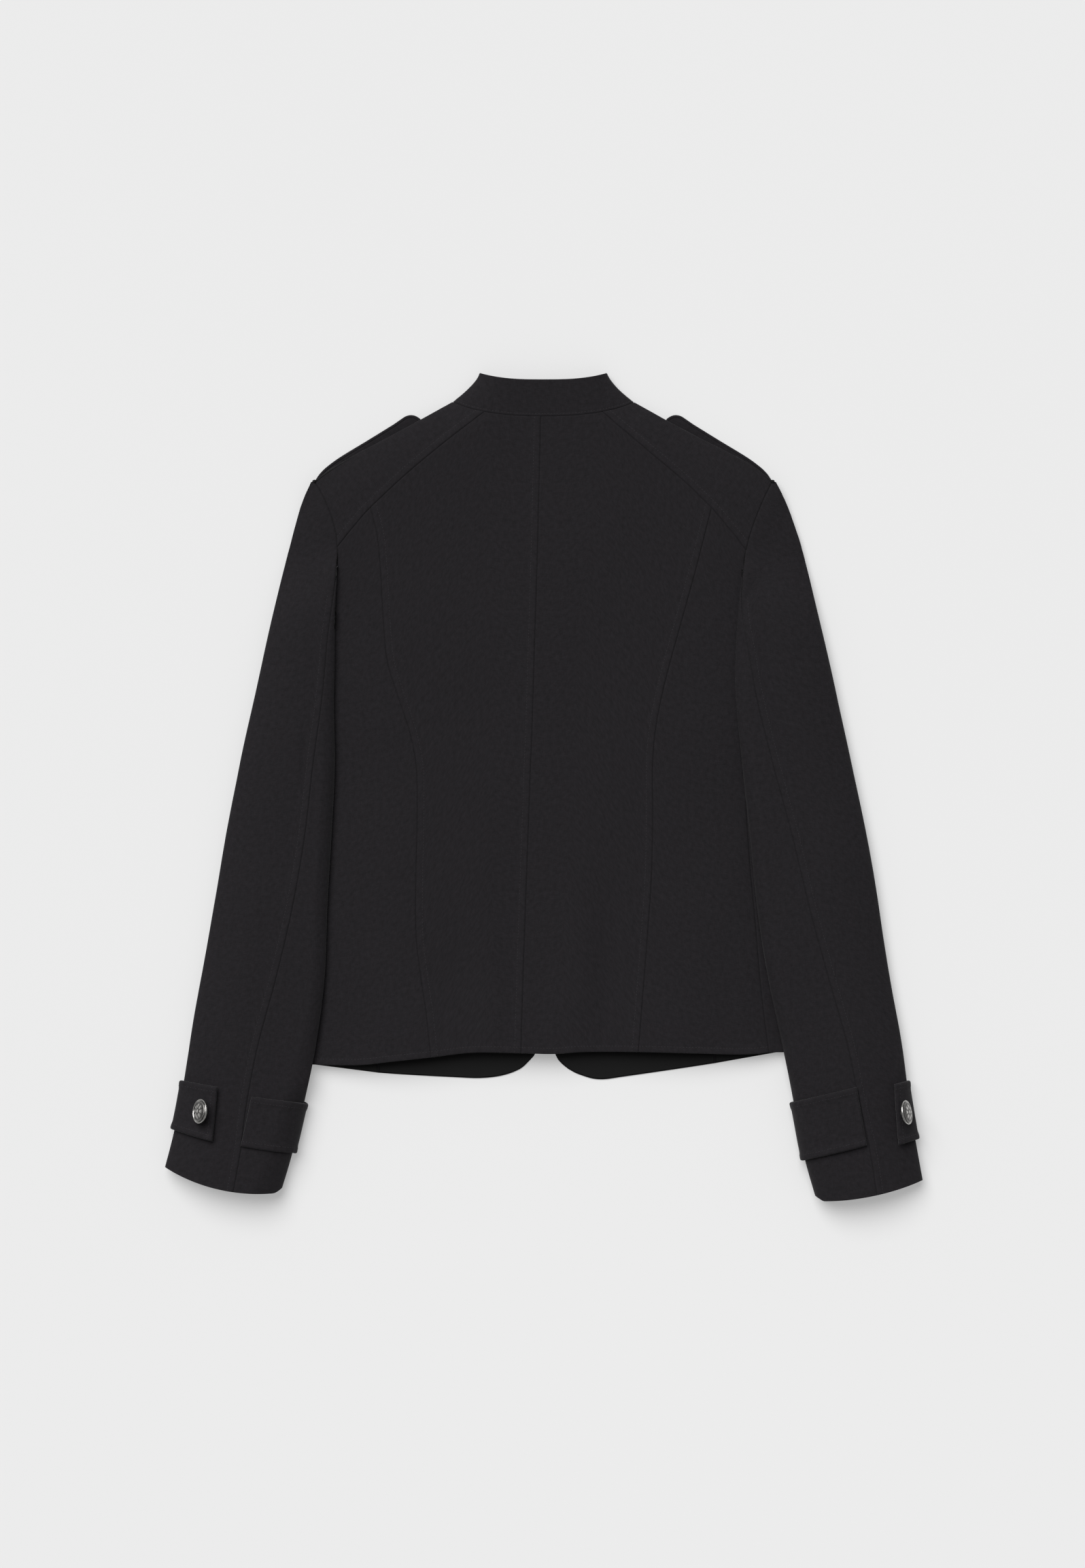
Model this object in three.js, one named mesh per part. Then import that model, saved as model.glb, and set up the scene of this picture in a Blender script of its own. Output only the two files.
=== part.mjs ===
// A short black blazer, laid flat on its front, with its back up.
// Sizes are in millimetres. +Y runs to the collar, +Z is up, and the origin is on the surface below the middle.
// "out" is a distance sideways from the middle. Each side of the coat has its own columns, because it lies uneven.

import * as THREE from 'three';

// Cloth
const clothWall = 1.8;
const foldWall = 1.2;
const pointWall = 1.0;
const seamInset = 0.17;
const sideSeamInset = 0.25;
const looseInset = 0.4;
const collarWall = 2.6;
const strapWall = 2.6;
const epauletteWall = 3;

// How high the laid coat stands
const backCrest = 15.5;
const foldMid = 5;
const foldShare = 0.9;
const sideRounding = 85;
const shoulderRounding = 30;
const foldFoot = 13;
const hemRise = { height: 3, start: -150, length: 75, sideClear: 45, sideLength: 60 };

// Shoulders and neck
const shoulderAngle = THREE.MathUtils.degToRad(29.9);
const neckSeam = { y: 314.2, flat: 2.9, steep: 1.0, unit: 50, corner: 76.5, yokeCorner: 49.8 };
const frontNeck = { middle: 1, depth: 64.5, rowLength: 9 };
const collarTop = { y: 345.2, rise: 5.8, corner: 54, cornerY: 351, frontDepth: 60, z: 17, foldZ: 6, rounding: 22 };
const collarFlare = { bend: 1.4, rows: 4, sideOut: 45 };

// Side folds of the body, and above the underarm the outer fold of each sleeve head
const underarmY = 99;
const sideSeamDrop = 2;
const sideFoldRows = [
  { y: 262, left: 195.5, right: 195.5 },
  { y: 241, left: 204.1, right: 205.3 },
  { y: 220, left: 210.5, right: 213.3 },
  { y: 201, left: 215.1, right: 219.1 },
  { y: 165, left: 214.5, right: 217 },
  { y: 130, left: 211, right: 212 },
  { y: 99, left: 207, right: 208.2 },
  { y: 56, left: 200.1, right: 200.1 },
  { y: 4, left: 190.9, right: 186.5 },
  { y: -53, left: 194.4, right: 190.9 },
  { y: -110, left: 202.4, right: 199 },
  { y: -168, left: 209.3, right: 207 },
  { y: -234, left: 215.7, right: 218.5 },
];

// Back seams, as x at each height
const backSeamRows = [
  { y: 236, princessLeft: -146, centre: -4.1, princessRight: 142 },
  { y: 215, princessLeft: -140.6, centre: -4.6, princessRight: 136.6 },
  { y: 185, princessLeft: -137.6, centre: -5.4, princessRight: 129 },
  { y: 140, princessLeft: -135, centre: -6.8, princessRight: 116.6 },
  { y: 105, princessLeft: -131.3, centre: -7.9, princessRight: 106.9 },
  { y: 75, princessLeft: -121.9, centre: -8.8, princessRight: 99.5 },
  { y: 48, princessLeft: -113.1, centre: -9.6, princessRight: 94.7 },
  { y: 20, princessLeft: -107.4, centre: -10.8, princessRight: 92.4 },
  { y: -20, princessLeft: -106.4, centre: -12.2, princessRight: 92.4 },
  { y: -75, princessLeft: -107.5, centre: -14.2, princessRight: 91.4 },
  { y: -125, princessLeft: -107.4, centre: -16, princessRight: 88 },
  { y: -160, princessLeft: -103.3, centre: -17.1, princessRight: 85.3 },
  { y: -190, princessLeft: -98.9, centre: -18, princessRight: 82.9 },
  { y: -228, princessLeft: -94.9, centre: -19.1, princessRight: 79.9 },
];

// Side seam on the back, as its distance in from the side fold
const sideSeamRows = [
  { y: 99, left: 2, right: 8 },
  { y: -60, left: 2, right: 17 },
  { y: -228, left: 2, right: 26 },
];

// Lower edge of the back
const backHemY = -228;
const sideSeamHemOut = 200;
const backHemRows = [
  { x: -216, y: -233.5 },
  { x: -157, y: -234.3 },
  { x: -128, y: -231.4 },
  { x: -95, y: -227.9 },
  { x: -60, y: -223.9 },
  { x: -19, y: -224.4 },
  { x: 8, y: -225.1 },
  { x: 32, y: -223.4 },
  { x: 80, y: -223.4 },
  { x: 128, y: -225.1 },
  { x: 179, y: -226.3 },
  { x: 218, y: -221 },
];

// Lower edge of each front, from the side fold round the corner to the front edge
const frontHemRows = {
  left: [
    { out: 215.6, y: -232.5 },
    { out: 176.5, y: -235.5 },
    { out: 140, y: -241.3 },
    { out: 73, y: -245.3 },
    { out: 51.2, y: -245.8 },
    { out: 33.9, y: -243.5 },
    { out: 20.1, y: -238.3 },
    { out: 12.1, y: -231.4 },
    { out: 6.9, y: -225.1 },
    { out: 2.2, y: -212 },
    { out: -0.6, y: -190 },
  ],
  right: [
    { out: 217.4, y: -221 },
    { out: 178.8, y: -226.8 },
    { out: 145, y: -233.3 },
    { out: 71.9, y: -244.1 },
    { out: 47.7, y: -247 },
    { out: 32, y: -243.5 },
    { out: 21.3, y: -238.3 },
    { out: 13.2, y: -231.4 },
    { out: 9.8, y: -225.1 },
    { out: 5, y: -212 },
    { out: 1.4, y: -190 },
  ],
};
const frontCornerRow = 6;
const frontSeamHemRow = 2;
const frontSeamBend = { out: 141, y: 20 };

// Yoke seams, from the armhole to the neck, with the row where the princess seam meets them
const yokeSeamRows = {
  left: [
    { out: 174.2, y: 204 },
    { out: 157.6, y: 224.5 },
    { out: 146.1, y: 237.2 },
    { out: 117.3, y: 264.2 },
    { out: 83.4, y: 292.4 },
    { out: 49.8, y: 318.2 },
  ],
  right: [
    { out: 171.4, y: 201 },
    { out: 156.5, y: 219.8 },
    { out: 142, y: 236.6 },
    { out: 118.5, y: 259.6 },
    { out: 86.8, y: 286.4 },
    { out: 49.8, y: 318.2 },
  ],
};
const yokePrincessRow = 2;
const yokeNeckRow = 5;

const shoulderRows = [
  { out: 76.5, y: 326.5 },
  { out: 102, y: 312 },
  { out: 118, y: 303.3 },
  { out: 135, y: 294.3 },
  { out: 152, y: 285.5 },
  { out: 170, y: 275.6 },
  { out: 185, y: 266 },
  { out: 193.8, y: 259.2 },
];

// Armhole edge of the back below the yoke, under the sleeve
const backArmholeRows = {
  left: [
    { out: 174.2, y: 204 },
    { out: 174.6, y: 188 },
    { out: 179, y: 174 },
    { out: 188, y: 150 },
    { out: 196, y: 126 },
    { out: 205, y: 99 },
  ],
  right: [
    { out: 171.4, y: 201 },
    { out: 169.9, y: 189 },
    { out: 173.5, y: 176 },
    { out: 183, y: 153 },
    { out: 193, y: 126 },
    { out: 200.2, y: 99 },
  ],
};

// Sleeve sections, from the shoulder point to the cuff: the outer and inner folds in plan, and how far each
// section bows towards the cuff
const sleeveFolds = {
  left: [
    { outer: 196.6, outerY: 258.8, inner: 193.8, innerY: 259.2, bow: 0 },
    { outer: 204.1, outerY: 241.2, inner: 185.2, innerY: 244.1, bow: 0 },
    { outer: 210.5, outerY: 219.9, inner: 177.1, innerY: 222.8, bow: 0 },
    { outer: 215.1, outerY: 202.7, inner: 174.2, innerY: 204, bow: 0 },
    { outer: 222.5, outerY: 173.9, inner: 174.8, innerY: 176.8, bow: 0 },
    { outer: 231.2, outerY: 136.6, inner: 176.5, innerY: 139.4, bow: 0 },
    { outer: 243.8, outerY: 79.1, inner: 177.7, innerY: 80.2, bow: 0.3 },
    { outer: 256.5, outerY: 21.6, inner: 176.5, innerY: 20.4, bow: 0.6 },
    { outer: 268, outerY: -35.9, inner: 179.4, innerY: -40.5, bow: 1 },
    { outer: 277.7, outerY: -93.4, inner: 182.9, innerY: -102.1, bow: 1.4 },
    { outer: 287.5, outerY: -150.9, inner: 185.2, innerY: -163, bow: 1.8 },
    { outer: 297.9, outerY: -208.4, inner: 193.2, innerY: -222.8, bow: 2.3 },
    { outer: 305.9, outerY: -257.3, inner: 203.6, innerY: -271.7, bow: 3 },
    { outer: 312.8, outerY: -291.8, inner: 212.8, innerY: -310.2, bow: 4.5 },
    { outer: 320.3, outerY: -321.1, inner: 222.5, innerY: -342.4, bow: 8 },
  ],
  right: [
    { outer: 196.6, outerY: 258.8, inner: 193.8, innerY: 259.2, bow: 0 },
    { outer: 205.3, outerY: 241.2, inner: 186.3, innerY: 244.1, bow: 0 },
    { outer: 213.3, outerY: 219.9, inner: 177.7, innerY: 222.8, bow: 0 },
    { outer: 219.1, outerY: 201, inner: 171.4, innerY: 201, bow: 0 },
    { outer: 226, outerY: 173.9, inner: 167.3, innerY: 175.1, bow: 0 },
    { outer: 234.6, outerY: 136.6, inner: 163.9, innerY: 139.4, bow: 0 },
    { outer: 247.8, outerY: 79.1, inner: 162.7, innerY: 80.2, bow: 0.2 },
    { outer: 260.5, outerY: 21.6, inner: 167.9, innerY: 20.4, bow: 0.4 },
    { outer: 272, outerY: -35.9, inner: 174.2, innerY: -40.5, bow: 0.6 },
    { outer: 282.3, outerY: -93.4, inner: 180.6, innerY: -102.1, bow: 0.8 },
    { outer: 291.5, outerY: -150.9, inner: 190.3, innerY: -163, bow: 1 },
    { outer: 301.3, outerY: -208.4, inner: 203, innerY: -222.8, bow: 1.2 },
    { outer: 307.6, outerY: -254.4, inner: 212.8, innerY: -271.7, bow: 1.6 },
    { outer: 314.5, outerY: -296.4, inner: 220.8, innerY: -313.1, bow: 2.6 },
    { outer: 320.9, outerY: -332.1, inner: 231.2, innerY: -349.9, bow: 4.3 },
  ],
};

// At the same sections, distances from the inner fold: to the back seam on top, and below to the end of the
// under sleeve and to the end of the upper sleeve
const sleeveSeams = {
  left: [
    { backSeam: 1.2, backArm: 1, frontArm: 1 },
    { backSeam: 1.2, backArm: 1, frontArm: 1.2 },
    { backSeam: 1.2, backArm: 1, frontArm: 1.5 },
    { backSeam: 1.5, backArm: 1, frontArm: 2 },
    { backSeam: 3.4, backArm: 5.5, frontArm: 5 },
    { backSeam: 5, backArm: 15, frontArm: 20 },
    { backSeam: 8.6, backArm: 46, frontArm: 46 },
    { backSeam: 17.8, backArm: 46, frontArm: 46 },
    { backSeam: 21.9, backArm: 46, frontArm: 46 },
    { backSeam: 28.8, backArm: 46, frontArm: 46 },
    { backSeam: 40.3, backArm: 46, frontArm: 46 },
    { backSeam: 48, backArm: 46, frontArm: 46 },
    { backSeam: 47, backArm: 46, frontArm: 46 },
    { backSeam: 42.6, backArm: 46, frontArm: 46 },
    { backSeam: 38.5, backArm: 46, frontArm: 46 },
  ],
  right: [
    { backSeam: 1.2, backArm: 1, frontArm: 1 },
    { backSeam: 1.2, backArm: 1, frontArm: 1.2 },
    { backSeam: 1.2, backArm: 1, frontArm: 1.5 },
    { backSeam: 1.5, backArm: 1, frontArm: 2 },
    { backSeam: 3.4, backArm: 8, frontArm: 8 },
    { backSeam: 6.3, backArm: 28, frontArm: 30 },
    { backSeam: 16.7, backArm: 58, frontArm: 58 },
    { backSeam: 25.9, backArm: 58, frontArm: 58 },
    { backSeam: 35.7, backArm: 56, frontArm: 56 },
    { backSeam: 43.7, backArm: 54, frontArm: 54 },
    { backSeam: 50, backArm: 52, frontArm: 52 },
    { backSeam: 54, backArm: 50, frontArm: 50 },
    { backSeam: 54, backArm: 48, frontArm: 48 },
    { backSeam: 55.2, backArm: 46, frontArm: 46 },
    { backSeam: 50.6, backArm: 44, frontArm: 44 },
  ],
};

// At the same sections of both sleeves, the height of the top layer and half the thickness at the inner fold
const sleeveHeights = [
  { top: 15, half: 3.3 },
  { top: 15, half: 3.3 },
  { top: 17, half: 3.3 },
  { top: 20, half: 3.3 },
  { top: 21.5, half: 3.3 },
  { top: 22, half: 3.3 },
  { top: 22, half: 3.3 },
  { top: 22.5, half: 3.3 },
  { top: 22.5, half: 3.3 },
  { top: 22.5, half: 3.3 },
  { top: 22.5, half: 3.4 },
  { top: 23, half: 3.8 },
  { top: 24, half: 5.5 },
  { top: 25, half: 6.5 },
  { top: 25.5, half: 7.5 },
];

// Where along a sleeve its walls have their rows. The armhole rows are shared with the yoke and the front.
const yokeSeamSection = 3;
const headRows = [0.2, 0.5, 1, 1.6, 2.3, yokeSeamSection];
const underSleeveStart = 3.7;
const frontSeamTop = 4.2;
const lowerRows = [3.7, 4.2, 5, 5.67, 6.2, 6.9, 7.6, 8.4, 9.2, 10, 10.8, 11.35, 11.85, 12.4, 12.95, 13.45, 14];
const yokeFrontRow = 1;

// How a sleeve stands up and what it lies on
const sleeveLie = {
  outerFoldZ: 9, cuffFoldZ: 10.5, outerRounding: 42, innerFactor: 3.4, outerFoot: 16, innerFoot: 6,
  headStart: 3, headLength: 2, lipLength: 0.7, lipWidth: 14, underFrom: 5.55, underLength: 0.3, foldRowFrom: 5.8,
  lowerBow: 0.3, innerProbe: 4, cuffFoldLength: 3,
};
const bridge = { out: 18, in: 60, crest: 15.2, bend: 2.6, fadeStart: 12, fadeLength: 26 };
const strapLift = { height: 3.5, from: 11.15, length: 0.6 };

// Cuff straps: sections that their edges follow at the seam and at the free end, how far they rise to the seam
// on top, and where the free end lies at its two corners
const strapGap = 0.55;
const strapSeamGap = 1.2;
const cuffStraps = {
  left: {
    seamTop: 11.93, seamFoot: 12.98, topRise: 0.1, footRise: 0.085,
    endTop: 11.75, endFoot: 12.91, end: 0.71, footEnd: 0.662, tipLift: 1.6,
  },
  right: {
    seamTop: 11.87, seamFoot: 13.05, topRise: 0.11, footRise: 0.15,
    endTop: 11.85, endFoot: 13.03, end: 0.87, footEnd: 0.82, tipLift: 3,
  },
};
const strapRiseShare = 0.26;
const strapTipLength = 0.22;
const strapColumns = 28;
const strapRowCount = 2;

// Cuff buttons: where each is sewn on, how far it leans over and how far its shank stands off the strap
const buttonRadius = 10.5;
const cuffButtons = {
  left: { row: 12.28, part: 0.765, tilt: 56, lift: 0.9 },
  right: { row: 12.42, part: 0.88, tilt: 66, lift: 0.35 },
};
const buttonShape = {
  shankRadius: 2.6, shankLength: 3.8, edge: 1, edgeHeight: 0.6,
  rim: 1.1, rimHeight: 1.6, rimRise: 0.2, groove: 0.5, crown: 4.2, domeSteps: 4, turns: 24,
};

// Shoulder straps lying under the front of the shoulder, with one edge standing out past the fold
const epaulette = { length: 104, foot: -32, start: 2, footStart: -41, corner: 8, stand: 9.6, endInset: 3 };
const epauletteEdge = [
  { along: 2, stand: 1.2 }, { along: 7, stand: 3.6 }, { along: 14.5, stand: 5.6 }, { along: 28.5, stand: 7.2 },
  { along: 56, stand: 7.9 }, { along: 82, stand: 8.7 },
];
const epauletteLift = { height: 3.6, from: -6, to: 114, soft: 20, below: 50, belowSoft: 26 };

// Broad soft folds of the back: centre, length, width and height in millimetres, and turn in degrees
const backFolds = [
  { x: -50, y: -150, length: 130, width: 16, height: 1.6, turn: 4 },
  { x: 27, y: -150, length: 140, width: 17, height: 1.6, turn: -3 },
  { x: 54, y: -140, length: 120, width: 12, height: -1.1, turn: -2 },
  { x: -150, y: -130, length: 120, width: 16, height: -1.2, turn: 6 },
  { x: -20, y: 120, length: 160, width: 40, height: 1.2, turn: 0 },
];

// Small helpers

const clamp01 = (value) => Math.min(1, Math.max(0, value));
const mix = (a, b, t) => a + (b - a) * t;
const mixPoint = (a, b, t) => a.clone().lerp(b, t);
const plan = (x, y) => new THREE.Vector3(x, y, 0);

function ease(t) {
  const c = clamp01(t);
  return c * c * (3 - 2 * c);
}

// Rises from 0 at a fold, steeply at first, to 1 one rounding length further in
const roundness = 1.6;
function roundOff(t) {
  return (1 - (1 - clamp01(t)) ** roundness) ** (1 / roundness);
}

// Smooth curve through rows of a table: gives the column at any value of the key
function track(rows, keyOf, column) {
  const keys = rows.map((row, i) => (keyOf === null ? i : row[keyOf]));
  const values = rows.map((row) => row[column]);
  const order = keys[1] > keys[0] ? 1 : -1;
  const last = keys.length - 1;
  const slopeAt = (i) => {
    const a = Math.max(0, i - 1);
    const b = Math.min(last, i + 1);
    return (values[b] - values[a]) / (keys[b] - keys[a]);
  };
  const slopes = keys.map((key, i) => slopeAt(i));
  return (key) => {
    if ((key - keys[0]) * order <= 0) return values[0] + slopes[0] * (key - keys[0]);
    if ((key - keys[last]) * order >= 0) return values[last] + slopes[last] * (key - keys[last]);
    let i = 0;
    while ((key - keys[i + 1]) * order > 0) i += 1;
    const span = keys[i + 1] - keys[i];
    const t = (key - keys[i]) / span;
    const t2 = t * t;
    const t3 = t2 * t;
    return values[i] * (2 * t3 - 3 * t2 + 1) + slopes[i] * span * (t3 - 2 * t2 + t)
      + values[i + 1] * (3 * t2 - 2 * t3) + slopes[i + 1] * span * (t3 - t2);
  };
}

// Points along a table of rows, by the running row number
function rowCurve(rows, xColumn, yColumn, sign) {
  const out = track(rows, null, xColumn);
  const y = track(rows, null, yColumn);
  return (row) => plan(sign * out(row), y(row));
}

// The two sides of the coat

function makeSide(name, sign) {
  const sleeve = {};
  for (const rows of [sleeveFolds[name], sleeveSeams[name], sleeveHeights]) {
    for (const column of Object.keys(rows[0])) {
      sleeve[column] = track(rows, null, column);
    }
  }
  return {
    name,
    sign,
    sleeve,
    fold: track(sideFoldRows, 'y', name),
    seam: track(sideSeamRows, 'y', name),
    yokeSeam: rowCurve(yokeSeamRows[name], 'out', 'y', sign),
    backArmhole: rowCurve(backArmholeRows[name], 'out', 'y', sign),
    frontHem: rowCurve(frontHemRows[name], 'out', 'y', sign),
    princess: track(backSeamRows, 'y', name === 'left' ? 'princessLeft' : 'princessRight'),
  };
}

const left = makeSide('left', -1);
const right = makeSide('right', 1);
const sides = [left, right];
const sideOf = (x) => (x < 0 ? left : right);
const centreSeam = track(backSeamRows, 'y', 'centre');
const backHem = track(backHemRows, 'x', 'y');
const shoulderY = track(shoulderRows, 'out', 'y');
const shoulderRun = { along: Math.cos(shoulderAngle), up: Math.sin(shoulderAngle) };
const shoulderPoint = shoulderRows[shoulderRows.length - 1];

function neckSeamY(out) {
  const u = out / neckSeam.unit;
  return neckSeam.y + neckSeam.flat * u ** 2 + neckSeam.steep * u ** 4;
}

// Heights

// Distance in from the shoulder fold
function shoulderDepth(x, y) {
  return (shoulderY(Math.abs(x)) - y) * shoulderRun.along;
}

// Height of the underside over the shoulder strap that lies below it
function frontLift(x, y) {
  const lift = epauletteLift;
  const along = (shoulderPoint.out - Math.abs(x)) * shoulderRun.along + (y - shoulderPoint.y) * shoulderRun.up;
  const onStrap = ease((along - lift.from + lift.soft) / lift.soft) * ease((lift.to + lift.soft - along) / lift.soft);
  return lift.height * onStrap * (1 - ease((shoulderDepth(x, y) - lift.below) / lift.belowSoft));
}

function midHeight(x, y) {
  return foldMid + foldShare * frontLift(x, y);
}

function foldHeight(fold, x, y) {
  const turn = THREE.MathUtils.degToRad(fold.turn);
  const dx = x - fold.x;
  const dy = y - fold.y;
  const across = dx * Math.cos(turn) + dy * Math.sin(turn);
  const along = dy * Math.cos(turn) - dx * Math.sin(turn);
  const fade = ease(1 - Math.abs(along) / fold.length);
  return fold.height * fade * Math.exp(-((across / fold.width) ** 2));
}

// Upper surface of the back, the yokes and the sleeve heads
function bodyTop(x, y) {
  const depth = sideOf(x).fold(y) - Math.abs(x);
  const rise = hemRise.height * ease((hemRise.start - y) / hemRise.length)
    * ease((depth - hemRise.sideClear) / hemRise.sideLength);
  let crest = backCrest + rise;
  for (const fold of backFolds) {
    crest += foldHeight(fold, x, y);
  }
  const mid = midHeight(x, y);
  return mid + (crest - mid) * roundOff(depth / sideRounding) * roundOff(shoulderDepth(x, y) / shoulderRounding);
}

// Underside of the fronts and of the cloth that turns under the shoulder fold
function bodyUnder(x, y) {
  const lift = frontLift(x, y);
  return lift + (midHeight(x, y) - lift) * (1 - roundOff(shoulderDepth(x, y) / foldFoot));
}

// Height of the lower layer of a sleeve where it lies over the side of the body and comes down beside it
function bridgeHeight(x, y) {
  const beyond = Math.abs(x) - sideOf(x).fold(y);
  const t = clamp01((bridge.out - beyond) / (bridge.out + bridge.in));
  const pastHem = backHem(x) - bridge.fadeStart - y;
  return bridge.crest * (1 - (1 - t) ** bridge.bend) * (1 - ease(pastHem / bridge.fadeLength));
}

// Surfaces that give a point and its outward direction, which is measured over a small step

const planStep = 0.4;
const wrapStep = 0.3;
const sectionStep = 0.02;
const edgeStep = 0.06;

function heightPoint(height, x, y, facing) {
  const h = planStep;
  const slopeX = (height(x + h, y) - height(x - h, y)) / (2 * h);
  const slopeY = (height(x, y + h) - height(x, y - h)) / (2 * h);
  const normal = new THREE.Vector3(-slopeX, -slopeY, 1).normalize().multiplyScalar(facing);
  return { point: new THREE.Vector3(x, y, height(x, y)), normal };
}

const topPoint = (p) => heightPoint(bodyTop, p.x, p.y, 1);
const underPoint = (p) => heightPoint(bodyUnder, p.x, p.y, -1);

function crossNormal(a, b, c, d, towards) {
  const normal = b.clone().sub(a).cross(d.clone().sub(c)).normalize();
  return normal.dot(towards) < 0 ? normal.negate() : normal;
}

// The side fold: wrap is 0 at the fold, above 0 on the back and below 0 on the front
const wrapEase = 3;
const depthOfWrap = (wrap) => (wrap * wrap) / (Math.abs(wrap) + wrapEase);
const wrapOfDepth = (depth) => (depth + Math.sqrt(depth * depth + 4 * wrapEase * depth)) / 2;

function sidePosition(side, y, wrap) {
  const depth = depthOfWrap(wrap);
  const x = side.sign * (side.fold(y) - depth);
  const z = wrap > 0 ? bodyTop(x, y) : midHeight(x, y) * (1 - roundOff(depth / foldFoot));
  return new THREE.Vector3(x, y, z);
}

function sidePoint(side, y, wrap) {
  const h = wrapStep;
  const towards = new THREE.Vector3(side.sign, 0, THREE.MathUtils.clamp(wrap, -1.5, 1.5));
  const normal = crossNormal(sidePosition(side, y - h, wrap), sidePosition(side, y + h, wrap),
    sidePosition(side, y, wrap - h), sidePosition(side, y, wrap + h), towards);
  return { point: sidePosition(side, y, wrap), normal };
}

// A sleeve as a ring: turn is 0 at the inner fold, 1 at the outer fold, and below the top it runs on from 1 to 2,
// or back from 0 to -1. piece says which of the two cloths the lower layer belongs to.

const foldPart = (turn) => (1 - Math.cos(Math.PI * turn)) / 2;
const turnOfPart = (part) => Math.acos(1 - 2 * clamp01(part)) / Math.PI;

function sleeveWidth(side, row) {
  const s = side.sleeve;
  return Math.hypot(s.outer(row) - s.inner(row), s.outerY(row) - s.innerY(row));
}

const turnOfDistance = (side, row, distance) => turnOfPart(distance / sleeveWidth(side, row));

function restHeight(x, y, row, piece) {
  const lift = strapLift.height * ease((row - strapLift.from) / strapLift.length);
  const bridged = bridgeHeight(x, y) + lift;
  if (piece === 'under') return bridged;
  return mix(frontLift(x, y), bridged, ease((row - sleeveLie.underFrom) / sleeveLie.underLength));
}

function sleevePosition(side, row, turn, piece) {
  const s = side.sleeve;
  const lie = sleeveLie;
  const wrapped = THREE.MathUtils.euclideanModulo(turn + 1, 2) - 1;
  const onTop = wrapped >= 0;
  const part = foldPart(turn);
  const width = sleeveWidth(side, row);
  const bow = s.bow(row) * 4 * part * (1 - part) * (onTop ? 1 : lie.lowerBow);
  const alongX = (s.inner(row) - s.outer(row)) / width;
  const alongY = (s.innerY(row) - s.outerY(row)) / width;
  const x = side.sign * (mix(s.inner(row), s.outer(row), part) - bow * alongY);
  const y = mix(s.innerY(row), s.outerY(row), part) + bow * alongX;
  const fromInner = part * width;
  const fromOuter = (1 - part) * width;

  const innerX = side.sign * (s.inner(row) + lie.innerProbe);
  const cuffward = ease((row - strapLift.from) / lie.cuffFoldLength);
  const innerZ = restHeight(innerX, s.innerY(row), row, 'under') + s.half(row);
  const outerZ = mix(lie.outerFoldZ, lie.cuffFoldZ, cuffward);
  const slow = ease((row - lie.headStart) / lie.headLength);
  const lip = ease((row - lie.headStart) / lie.lipLength) * Math.exp(-((fromInner / lie.lipWidth) ** 2));
  const free = Math.max(slow, lip);
  const line = mix(innerZ, outerZ, part);
  const base = mix(midHeight(x, y), line, free);
  const innerRound = roundOff(fromInner / (lie.innerFactor * s.half(row)));
  const outerRound = roundOff(fromOuter / lie.outerRounding);
  if (onTop) {
    const head = bodyTop(x, y) - midHeight(x, y);
    return new THREE.Vector3(x, y, base + mix(head, (s.top(row) - line) * innerRound * outerRound, free));
  }
  const rest = restHeight(x, y, row, piece);
  const closed = row > lie.foldRowFrom;
  const innerFoot = piece === 'under' || closed ? roundOff(fromInner / lie.innerFoot) : 1;
  const outerFoot = piece === 'upper' || closed ? roundOff(fromOuter / lie.outerFoot) : 1;
  return new THREE.Vector3(x, y, rest + (base - rest) * (1 - innerFoot * outerFoot));
}

function sleevePoint(side, row, turn, piece) {
  const h = sectionStep;
  const edge = piece === 'upper' && row < underSleeveStart && turn < h;
  const step = edge ? edgeStep : h;
  const from = edge ? turn : turn - step;
  const wrapped = THREE.MathUtils.euclideanModulo(turn + 1, 2) - 1;
  const across = -1.2 * side.sign * Math.cos(Math.PI * turn);
  const up = THREE.MathUtils.clamp(6 * Math.sin(Math.PI * wrapped), -2, 2);
  const towards = new THREE.Vector3(across, 0, up);
  const normal = crossNormal(sleevePosition(side, row - h, turn, piece), sleevePosition(side, row + h, turn, piece),
    sleevePosition(side, row, from, piece), sleevePosition(side, row, turn + step, piece), towards);
  return { point: sleevePosition(side, row, turn, piece), normal };
}

// Walls

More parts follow.
